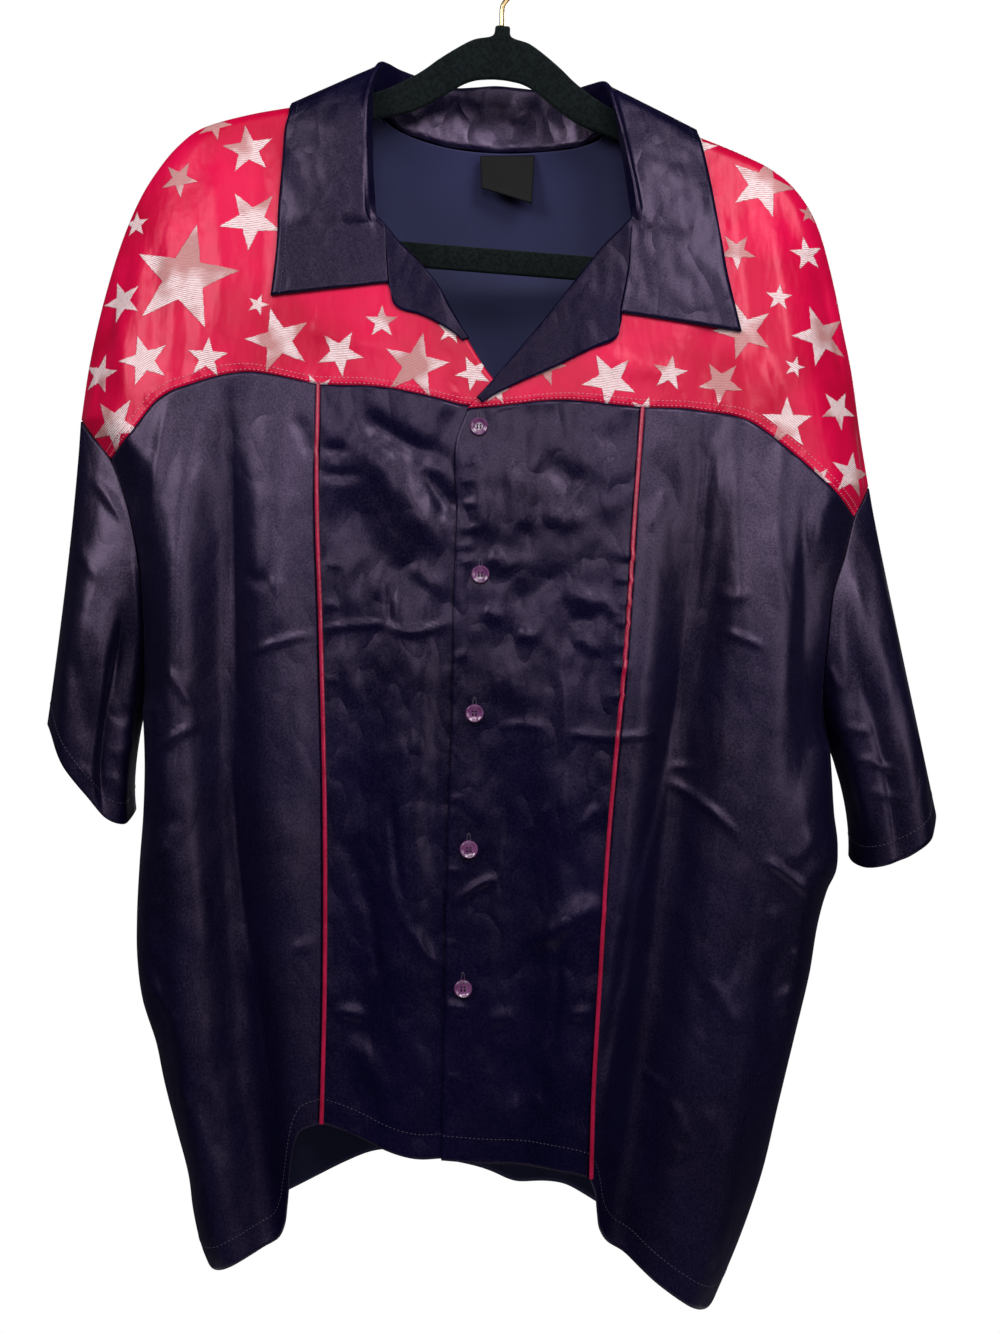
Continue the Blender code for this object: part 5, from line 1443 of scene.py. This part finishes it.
def thread_bump(nodes, place, under):
    """Fine satin threads: long floats up and down the cloth."""
    threads = nodes.noise(place, 1.0, 2.0, stretch=(2600, 330, 1))
    return nodes.bump(threads, 0.00012, 0.35, under)


def satin_material(name, gloss=(0.23, 0.43), rough=0.35, crumpled=0.55, crinkle_and_painted_sheen=None):
    """Satin: long glossy threads, a grain of paler ones, a soft crumple, and a shine turned down
    low down as painted shade.

    Where the two depths are given, the crumple grows between them, in metres, and so does the
    gloss, a painted sheen that makes the deeper cloth look more lit.
    """
    nodes = Nodes(name)
    place, spot = nodes.on_cloth(), nodes.in_place()
    blotch = nodes.noise(spot, 9.0, 3.0)
    grain = nodes.noise(spot, 760.0, 3.0, rough=0.65)
    tone = nodes.plus(nodes.times(blotch, 0.4), nodes.times(grain, 0.6))
    colour = nodes.mix(nodes.spread(tone, 0.40, 0.60), *NAVY)
    dull = nodes.spread(grain, 0.35, 0.65, rough - 0.04, rough + 0.04)
    _, deep, high = nodes.parts(spot)
    shine = nodes.spread(grain, 0.36, 0.64, *gloss)
    # Painted shade: the shine falls towards the hem, so the lower cloth looks less lit
    shine = nodes.times(shine, nodes.spread(high, *HEM_PAINTED_SHADE))
    # Painted sheen: deeper in, the gloss grows so that the collar's band looks more lit; its
    # crumple grows there too
    if crinkle_and_painted_sheen is not None:
        crumpled = nodes.times(nodes.spread(deep, *crinkle_and_painted_sheen, 0.8, 1.3), crumpled)
        shine = nodes.times(shine, nodes.spread(deep, *crinkle_and_painted_sheen, 0.9, 1.7))
    crumple = nodes.noise(spot, 36.0, 1.5, stretch=(1.2, 1.0, 0.75), rough=0.45)
    bent = nodes.noise(spot, 34.0, 1.0, stretch=(1.25, 1.0, 0.7))
    bent = nodes.math("ABSOLUTE", nodes.minus(bent, 0.5))
    under = nodes.bump(nodes.plus(crumple, bent), 0.0066, crumpled)
    under = nodes.bump(grain, 0.00016, 0.5, under)
    return nodes.finish(Base_Color=colour, Roughness=dull, Normal=thread_bump(nodes, place, under),
                        Specular_IOR_Level=shine, Specular_Tint=(0.88, 0.65, 1.0, 1),
                        Sheen_Weight=0.02, Sheen_Roughness=0.35, Sheen_Tint=(0.55, 0.42, 0.85, 1))


def reverse_material(name, dark, light):
    """The dull inner side of satin."""
    nodes = Nodes(name)
    cloud = nodes.spread(nodes.noise(nodes.in_place(), 14.0, 3.0), 0.3, 0.7)
    grain = nodes.noise(nodes.on_cloth(), 1.0, 1.0, stretch=(900, 1500, 1))
    return nodes.finish(Base_Color=nodes.mix(cloud, dark, light), Roughness=0.72,
                        Normal=nodes.bump(grain, 0.0002, 0.4), Specular_IOR_Level=0.3)


def star_distance(nodes, spot, side):
    """How far a place lies outside the nearest star, in metres; below 0 inside it."""
    wander = nodes.add("ShaderNodeTexNoise", {"Vector": spot, "Scale": 420.0, "Detail": 1.0})
    wander = nodes.vectors("SUBTRACT", wander.outputs[1], (0.5, 0.5, 0.5))
    wander = nodes.vectors("SCALE", wander, Scale=0.0012)
    across, _, high = nodes.parts(nodes.vectors("ADD", spot, wander))
    half = math.pi / STAR_POINTS
    ex, ey = STAR_NOTCH * math.cos(half) - 1, STAR_NOTCH * math.sin(half)
    nx, ny = ey / math.hypot(ex, ey), -ex / math.hypot(ex, ey)
    nearest = None
    for x, drop, reach, turn in STARS[side]:
        dx, dz = nodes.minus(across, x * MM), nodes.minus(high, -drop * MM)
        away = nodes.math("SQRT", nodes.plus(nodes.times(dx, dx), nodes.times(dz, dz)))
        angle = nodes.plus(nodes.math("ARCTAN2", dz, dx), math.radians(turn - 90 + 360))
        angle = nodes.math("PINGPONG", angle, half)
        lean = nodes.plus(nodes.times(nodes.math("COSINE", angle), nx),
                          nodes.times(nodes.math("SINE", angle), ny))
        outside = nodes.minus(nodes.times(away, lean), reach * nx * MM)
        nearest = outside if nearest is None else nodes.math("MINIMUM", nearest, outside)
    return nearest


def brocade_material(side):
    """Crimson satin with woven stars, charted on the cloth from their own table."""
    nodes = Nodes(f"star_brocade_{side}")
    place, spot = nodes.on_cloth(), nodes.in_place()
    star = nodes.spread(star_distance(nodes, spot, side), 0.00015, -0.00025)
    ground = nodes.mix(nodes.spread(nodes.noise(spot, 16.0, 3.0), 0.35, 0.65), *CRIMSON)
    sway = nodes.times(nodes.noise(spot, 55.0, 2.0), 4.8)
    phase = nodes.plus(nodes.times(nodes.parts(place)[1], math.tau / STAR_RIB), sway)
    rib = nodes.spread(nodes.math("SINE", phase), -0.45, 0.55)
    # Painted sheen: a random cloud sets where the stars' woven ribs shine silver and where they
    # fall back to rose-tan, as the weave's sheen would; the ribs themselves are woven
    shade = nodes.spread(nodes.noise(spot, 22.0, 2.0), 0.42, 0.50)
    broken = nodes.noise(place, 1.0, 2.0, stretch=(260, 1400, 1), rough=0.6)
    broken = nodes.times(nodes.spread(broken, 0.38, 0.60), 0.55)
    bright = nodes.spread(shade, 0.0, 1.0, 0.18, 1.0)
    bright = nodes.times(bright, nodes.math("MAXIMUM", rib, broken))
    colour = nodes.mix(star, ground, nodes.mix(bright, ROSE_TAN, SILVER))
    under = nodes.bump(nodes.noise(spot, 24.0, 3.0, stretch=(1.5, 1.0, 0.55)), 0.006, 0.45)
    under = nodes.bump(nodes.noise(spot, 90.0, 2.0), 0.0012, 0.3, under)
    under = nodes.bump(star, 0.0004, 0.55, under)
    under = nodes.bump(nodes.times(rib, star), 0.0004, 0.6, under)
    return nodes.finish(Base_Color=colour, Roughness=nodes.spread(star, 0.0, 1.0, 0.33, 0.44),
                        Normal=thread_bump(nodes, place, under), Specular_IOR_Level=0.38,
                        Specular_Tint=(1.0, 0.45, 0.52, 1), Sheen_Weight=0.04,
                        Sheen_Roughness=0.4, Sheen_Tint=(1.0, 0.35, 0.42, 1))


def plain_material(name, colours, scale, roughness, bump=0.0003, stretch=(1, 1, 1), **more):
    """Two near colours broken up by a noise, with a fine surface."""
    nodes = Nodes(name)
    spot = nodes.in_place()
    cloud = nodes.noise(spot, scale, 3.0, stretch=stretch)
    fine = nodes.noise(spot, scale * 7, 2.0, stretch=stretch)
    rough = nodes.spread(fine, 0.3, 0.7, roughness * 0.85, min(roughness * 1.15, 1.0))
    return nodes.finish(Base_Color=nodes.mix(nodes.spread(cloud, 0.35, 0.65), *colours),
                        Roughness=rough, Normal=nodes.bump(fine, bump, 0.5), **more)


def thread_material(name, colour):
    """Sewing thread with its twist."""
    nodes = Nodes(name)
    twist = nodes.noise(nodes.in_place(), 2400.0, 1.0)
    dark = tuple(c * 0.6 for c in colour[:3]) + (1,)
    return nodes.finish(Base_Color=nodes.mix(twist, dark, colour), Roughness=0.5,
                        Normal=nodes.bump(twist, 0.0001, 0.6))


def label_material():
    """Black woven tape, finely ribbed."""
    nodes = Nodes("label_tape")
    rib = nodes.noise(nodes.on_cloth(), 1.0, 1.0, stretch=(2600, 900, 1))
    return nodes.finish(Base_Color=nodes.mix(rib, *LABEL_BLACK), Roughness=0.62,
                        Normal=nodes.bump(rib, 0.00025, 0.6), Specular_IOR_Level=0.12)


# ---------------------------------------------------------------- stitched routes

def inset(points, distance, outward=None):
    """A route that runs a little above a grid's last row, with its normals."""
    normals = grid_normals(points)
    if outward is None:
        lean = np.sum(normals * (points - points.reshape(-1, 3).mean(axis=0)))
    else:
        lean = np.sum(normals @ np.array(outward))
    normals = normals if lean > 0 else -normals
    down = along_grid(points, 0)
    return [np.array([[np.interp(down[-1, c] - distance, down[:, c], grid[:, c, k])
                       for k in range(3)] for c in range(points.shape[1])])
            for grid in (points, normals)]


# ---------------------------------------------------------------- trim

def turned(bm, profile, segments):
    """A profile of radius and height, spun once about Z and closed."""
    verts = [bm.verts.new((radius * MM, 0, height * MM)) for radius, height in profile]
    edges = [bm.edges.new(pair) for pair in zip(verts, verts[1:])]
    bmesh.ops.spin(bm, geom=verts + edges, cent=(0, 0, 0), axis=(0, 0, 1), angle=math.tau,
                   steps=segments, use_merge=True)
    bmesh.ops.remove_doubles(bm, verts=bm.verts, dist=1e-6)
    bmesh.ops.recalc_face_normals(bm, faces=bm.faces)


def settled(name, obj):
    """The object's final mesh in place, with its modifiers worked in."""
    bpy.context.view_layer.update()
    graph = bpy.context.evaluated_depsgraph_get()
    mesh = bpy.data.meshes.new_from_object(obj.evaluated_get(graph))
    mesh.name = name
    mesh.transform(obj.matrix_world)
    return mesh


def button_face(name):
    """A button with its rim, its sunk middle and four holes, lying flat."""
    radius, height = BUTTON_RADIUS, BUTTON_HEIGHT
    profile = [(0, 0), (0.86, 0), (0.95, 0.12), (1, 0.42), (0.985, 0.66), (0.93, 0.9), (0.86, 1),
               (0.79, 0.96), (0.72, 0.8), (0.62, 0.68), (0.4, 0.61), (0, 0.6)]
    bm = bmesh.new()
    turned(bm, [(out * radius, up * height) for out, up in profile], 40)
    blank = bpy.data.objects.new("blank", mesh_of(bm, "blank"))
    bm = bmesh.new()
    for quarter in range(4):
        angle = math.radians(45 + 90 * quarter)
        place = Vector((math.cos(angle), math.sin(angle), 0)) * BUTTON_HOLE_PITCH * MM
        bmesh.ops.create_cone(bm, cap_ends=True, segments=12, radius1=BUTTON_HOLE_RADIUS * MM,
                              radius2=BUTTON_HOLE_RADIUS * MM, depth=3 * height * MM,
                              matrix=Matrix.Translation(place))
    drill = bpy.data.objects.new("drill", mesh_of(bm, "drill"))
    for obj in (blank, drill):
        bpy.context.scene.collection.objects.link(obj)
    holes = blank.modifiers.new("holes", "BOOLEAN")
    holes.operation = "DIFFERENCE"
    holes.object = drill
    mesh = settled(name, blank)
    for obj in (blank, drill):
        bpy.data.objects.remove(obj, do_unlink=True)
    return mesh


def make_button(number, x, drop, skin, thread):
    """One button with its two threads, and the buttonhole behind it."""
    place, normal = surface(np.array([x]), np.array([drop]), "front")
    centre = Vector((place[0] + normal[0] * SEAM_GAP).tolist()) * MM
    facing = Vector(normal[0].tolist()).to_track_quat("Z", "Y").to_matrix().to_4x4()
    turn = Matrix.Translation(centre) @ facing
    mesh = button_face(f"button_{number}_face")
    mesh.transform(turn)
    mesh.materials.clear()
    mesh.shade_smooth()
    mesh.set_sharp_from_angle(angle=math.radians(40))
    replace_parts(add_piece(f"button_{number}_face", mesh, skin), f"button_{number}")
    lines = []
    for across in (-BUTTON_THREAD_APART / 2, BUTTON_THREAD_APART / 2):
        ends = [turn @ (Vector((across, along, BUTTON_FACE)) * MM)
                for along in (-BUTTON_THREAD_LENGTH / 2, BUTTON_THREAD_LENGTH / 2)]
        lines.append((np.array([list(end / MM) for end in ends]), np.tile(normal, (2, 1))))
    stitched(f"button_{number}_thread", lines, thread, length=BUTTON_THREAD_LENGTH, gap=0.0,
             radius=BUTTON_THREAD_RADIUS, proud=0.2)
    angles = np.linspace(0, math.tau, 33)[:-1]
    width, length = BUTTONHOLE_SIZE
    across = x + width * np.cos(angles)
    down = drop - BUTTONHOLE_RISE + length * np.sign(np.sin(angles)) * np.abs(np.sin(angles)) ** 0.6
    points, normals = surface(across, down, "front")
    route = (points + normals * 0.1).tolist()
    cord(f"buttonhole_{number}", route, BUTTON_THREAD_RADIUS, thread, closed=True)


def lapel_points(side):
    """A lapel's face: its turn over the yoke's neck edge, the part on the yoke, and a tuck.

    The tuck runs a little way under the end of the collar, and fades out below it.
    """
    rows = LAPEL[side]
    count = len(rows["neck_x"]) - 1
    where = np.linspace(0, count, count * 8 + 1)
    neck = stations(rows, ("neck_x", "neck_drop"), where)
    outer = stations(rows, ("outer_x", "outer_drop"), where)
    share = np.linspace(0, 1, LAPEL_COLUMNS)[None, :, None]
    points, normals = front_points(side, neck[:, None] + (outer - neck)[:, None] * share)
    edge, up = points[:, 0], normals[:, 0]
    past = unit(edge - points[:, 1])
    turn = [edge + past * beyond + up * over for beyond, over in LAPEL_TURN]
    edge, up = points[:, -1], normals[:, -1]
    past = unit(edge - points[:, -2])
    tucked = 1 - ease((-edge[:, 2:] - COLLAR_END[side]) / 10)
    tuck = [edge + past * beyond * tucked + up * (WALL + LAY_ON - under * tucked)
            for beyond, under in LAPEL_TUCK]
    flat = points + normals * (WALL + LAY_ON)
    return np.concatenate([np.stack(turn, axis=1), flat, np.stack(tuck, axis=1)], axis=1)


def make_label(skin, thread):
    """A bare woven tab that hangs from the back neck seam, inside."""
    corners = joined(LABEL["x"], LABEL["y"], -LABEL["drop"])
    across = np.linspace(0, 1, LABEL_CELLS + 1)[None, :, None]
    down = np.linspace(0, 1, LABEL_CELLS + 1)[:, None, None]
    top = corners[0] + (corners[1] - corners[0]) * across
    bottom = corners[2] + (corners[3] - corners[2]) * across
    points = top + (bottom - top) * down
    points[..., 1] -= LABEL_BOW * np.sin(math.pi * across[..., 0]) * down[..., 0]
    points[..., 1] -= LABEL_CURL * ease((down[..., 0] - 0.75) * 4)
    cloth("neck_label_tape", points, (skin,), "neck_label", wall=LABEL_WALL,
          outward=OUT_FRONT)
    lines = [points[:4, round(share * LABEL_CELLS)] for share in (0.06, 0.94)]
    lines = [(line, np.tile(OUT_FRONT, (len(line), 1))) for line in lines]
    stitched("neck_label_stitches", lines, thread, length=1.6, gap=0.8, radius=0.25)


def hanger_loops():
    """The hanger's outer and inner outlines, crown to bar and back, tilted as it hangs."""
    count = len(HANGER["outer_x"]) - 1
    where = np.linspace(0, count, count * 5 + 1)
    cos, sin = math.cos(HANGER_TILT), math.sin(HANGER_TILT)
    loops = []
    for ring in ("outer", "inner"):
        half = stations(HANGER, (f"{ring}_x", f"{ring}_drop"), where)
        x, drop = np.concatenate([half, half[-2:0:-1] * np.array([-1, 1])]).T
        loops.append(joined(x * cos - drop * sin, x * sin + drop * cos + HANGER_CROWN_DROP))
    return loops


def make_hanger(skin):
    """The flocked body: its outline bridged to its window, thickened and rounded."""
    bm = bmesh.new()
    half = HANGER_THICKNESS / 2
    rings = [[bm.verts.new((x * MM, -half * MM, -drop * MM)) for x, drop in loop.tolist()]
             for loop in hanger_loops()]
    edges = [bm.edges.new(pair) for ring in rings for pair in zip(ring, ring[1:] + ring[:1])]
    bmesh.ops.bridge_loops(bm, edges=edges)
    made = bmesh.ops.extrude_face_region(bm, geom=bm.faces[:])
    moved = [item for item in made["geom"] if isinstance(item, bmesh.types.BMVert)]
    bmesh.ops.translate(bm, verts=moved, vec=(0, HANGER_THICKNESS * MM, 0))
    bmesh.ops.recalc_face_normals(bm, faces=bm.faces)
    rims = [edge for edge in bm.edges if edge.calc_face_angle(0) > math.radians(60)]
    bmesh.ops.bevel(bm, geom=rims, offset=HANGER_ROUND * MM, offset_type="OFFSET", segments=3,
                    profile=0.5, affect="EDGES", material=-1)
    mesh = mesh_of(bm, "hanger_flocked")
    mesh.shade_smooth()
    mesh.set_sharp_from_angle(angle=math.radians(50))
    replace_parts(add_piece("hanger_flocked", mesh, skin), "hanger_body")


def make_hook(skin):
    """The wire: a straight stem that bends into an open ring."""
    centre = WIRE_RADIUS - HOOK_RADIUS
    stem = [(0, 0, -STEM_FOOT_DROP), (0, 0, -52), (0.15, 0, -49), (0.6, 0, -46), (2.2, 0, -43.2),
            (4.5, 0, -40.5)]
    angles = [math.radians(degrees) for degrees in range(-48, 211, 4)]
    ring = [(HOOK_RADIUS * math.cos(angle), 0, centre + HOOK_RADIUS * math.sin(angle))
            for angle in angles]
    cord("hook_wire", stem + ring, WIRE_RADIUS, skin, "hanger_hook", resolution=5)


# ---------------------------------------------------------------- light, floor and camera

def area_light(name, place, aim, size, power):
    data = bpy.data.lights.new(name, "AREA")
    data.shape = "DISK"
    data.size = size
    data.energy = power
    lamp = bpy.data.objects.new(name, data)
    lamp.location = place
    lamp.rotation_euler = (Vector(aim) - Vector(place)).to_track_quat("-Z", "Y").to_euler()
    bpy.context.scene.collection.objects.link(lamp)


def make_walls():
    """White walls for the eye, and only a dim room light on the shirt."""
    world = bpy.data.worlds.new("studio")
    bpy.context.scene.world = world
    world.use_nodes = True
    tree = world.node_tree
    room, walls = tree.nodes["Background"], tree.nodes.new("ShaderNodeBackground")
    for light, strength in ((room, WORLD_LIGHT), (walls, WALL_WHITE)):
        light.inputs[0].default_value = (1, 1, 1, 1)
        light.inputs[1].default_value = strength
    seen = tree.nodes.new("ShaderNodeLightPath")
    either = tree.nodes.new("ShaderNodeMixShader")
    tree.links.new(seen.outputs["Is Camera Ray"], either.inputs[0])
    tree.links.new(room.outputs[0], either.inputs[1])
    tree.links.new(walls.outputs[0], either.inputs[2])
    tree.links.new(either.outputs[0], tree.nodes["World Output"].inputs[0])


def make_floor():
    """A pale floor, well below the hem."""
    bm = bmesh.new()
    bmesh.ops.create_circle(bm, cap_ends=True, segments=96, radius=FLOOR_RADIUS)
    mesh = mesh_of(bm, "floor")
    mesh.transform(Matrix.Translation((0, 0, FLOOR_HEIGHT)))
    paint = Nodes("floor_paint").finish(Base_Color=(0.86, 0.86, 0.86, 1), Roughness=0.9)
    mesh.materials.append(paint)
    floor = bpy.data.objects.new("floor", mesh)
    bpy.context.scene.collection.objects.link(floor)


def make_camera():
    """A level camera in front."""
    data = bpy.data.cameras.new("camera")
    data.sensor_fit = "VERTICAL"
    data.sensor_height = CAMERA_SENSOR
    data.lens = CAMERA_LENS
    camera = bpy.data.objects.new("camera", data)
    camera.location = CAMERA_PLACE
    camera.rotation_euler = (math.radians(90), 0, 0)
    bpy.context.scene.collection.objects.link(camera)
    bpy.context.scene.camera = camera


def make_studio():
    make_walls()
    bpy.context.scene.view_settings.view_transform = "Standard"
    for lamp in LAMPS:
        area_light(*lamp)
    make_floor()
    make_camera()


# ---------------------------------------------------------------- the shirt

def make_front(side, satin, smooth_painted_sheen_satin, facing, reverse, red_reverse, piping):
    """One half of the front with its sleeve; gives its hem routes and its yoke's two rows."""
    points = yoke_points(side)
    cloth(f"yoke_{side}_cloth", points, (brocade_material(side), red_reverse), f"yoke_{side}",
          outward=OUT_FRONT)
    reds = [inset(points, distance, OUT_FRONT) for distance in YOKE_STITCH_DEPTHS]
    points, normals = front_points(side, front_centre_plane(side))
    cloth(f"front_{side}_centre_cloth", points, (satin, reverse), f"front_{side}_centre",
          outward=OUT_FRONT)
    hems = [inset(points, FRONT_HEM_DEPTH, OUT_FRONT)]
    route = points[:, -1] + normals[:, -1] * (PIPING_RADIUS + SEAM_GAP)
    cord(f"piping_{side}_cord", route.tolist(), PIPING_RADIUS, piping, f"piping_{side}",
         resolution=4)
    points = front_side_points(side)
    cloth(f"front_{side}_side_cloth", points, (smooth_painted_sheen_satin, reverse), f"front_{side}_side",
          outward=OUT_FRONT)
    hems.append(inset(points, FRONT_HEM_DEPTH, OUT_FRONT))
    points = sleeve_points(side)
    cloth(f"sleeve_{side}_cloth", points, (smooth_painted_sheen_satin, reverse), f"sleeve_{side}",
          closed=True)
    ring = np.concatenate([points, points[:, :1]], axis=1)
    hems.append(inset(ring, SLEEVE_HEM_DEPTH))
    cloth(f"lapel_{side}_cloth", lapel_points(side), (facing,), f"lapel_{side}",
          outward=OUT_FRONT)
    return hems, reds


def make_shirt():
    """All the cloth, and the rows of stitches in it."""
    satin = satin_material("satin_navy")
    # Painted sheen: the side panels and sleeves get a higher gloss so that they look more lit, and
    # a softer crumple
    smooth_painted_sheen_satin = satin_material("satin_side_painted_sheen", gloss=(0.38, 0.72), rough=0.41, crumpled=0.26)
    # Painted shade: the lapels get a low gloss so that they look as if in shadow
    facing = satin_material("satin_facing_painted_shade", gloss=(0.09, 0.19))
    reverse = reverse_material("satin_reverse", *REVERSE_NAVY)
    red_reverse = reverse_material("brocade_reverse", *REVERSE_CRIMSON)
    navy_thread = thread_material("thread_navy", NAVY_THREAD)
    red_thread = thread_material("thread_red", RED_THREAD)
    piping = plain_material("piping_satin", PIPING_RED, 260, 0.24, stretch=(1, 1, 0.25),
                            Sheen_Weight=0.1, Sheen_Tint=(1.0, 0.5, 0.6, 1), Specular_IOR_Level=0.6)
    points = back_points()
    cloth("back_panel", points, (satin, reverse), "back", outward=OUT_BACK)
    hems, reds = [inset(points, BACK_HEM_DEPTH, OUT_BACK)], []
    for side in ("right", "left"):
        more_hems, more_reds = make_front(side, satin, smooth_painted_sheen_satin, facing, reverse, red_reverse,
                                          piping)
        hems += more_hems
        reds += more_reds
    points = collar_points()
    # The collar's band gets more crumple and, as a painted sheen, more gloss than its leaves
    collar_satin = satin_material("satin_collar", crinkle_and_painted_sheen=(0.0, 0.018))
    cloth("collar_cloth", points, (collar_satin,), "collar")
    hems.append(inset(points, COLLAR_EDGE_DEPTH, DOWN))
    stitched("hem_stitches", hems, navy_thread)
    stitched("yoke_stitches", reds, red_thread, length=2.1, gap=1.0, radius=0.42, proud=0.18)


def make_trim():
    """Buttons, label and hanger."""
    thread = thread_material("thread_plum", PLUM_THREAD)
    plum = plain_material("button_plum", PLUM, 120, 0.18, bump=0.0001, Coat_Weight=0.6,
                          Coat_Roughness=0.08, Specular_IOR_Level=0.6)
    for number, (x, drop) in enumerate(zip(BUTTONS["x"], BUTTONS["drop"]), start=1):
        make_button(number, x, drop, plum, thread)
    make_label(label_material(), thread)
    make_hanger(plain_material("hanger_flock", FLOCK, 500, 0.96, bump=0.0006, Sheen_Weight=0.12,
                               Sheen_Roughness=0.5, Sheen_Tint=(0.4, 0.6, 0.6, 1),
                               Specular_IOR_Level=0.1))
    make_hook(plain_material("hook_brass", BRASS, 60, 0.24, bump=0.00005, Metallic=1.0))


def main():
    for obj in list(bpy.data.objects):
        bpy.data.objects.remove(obj, do_unlink=True)
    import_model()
    make_shirt()
    make_trim()
    make_studio()


main()
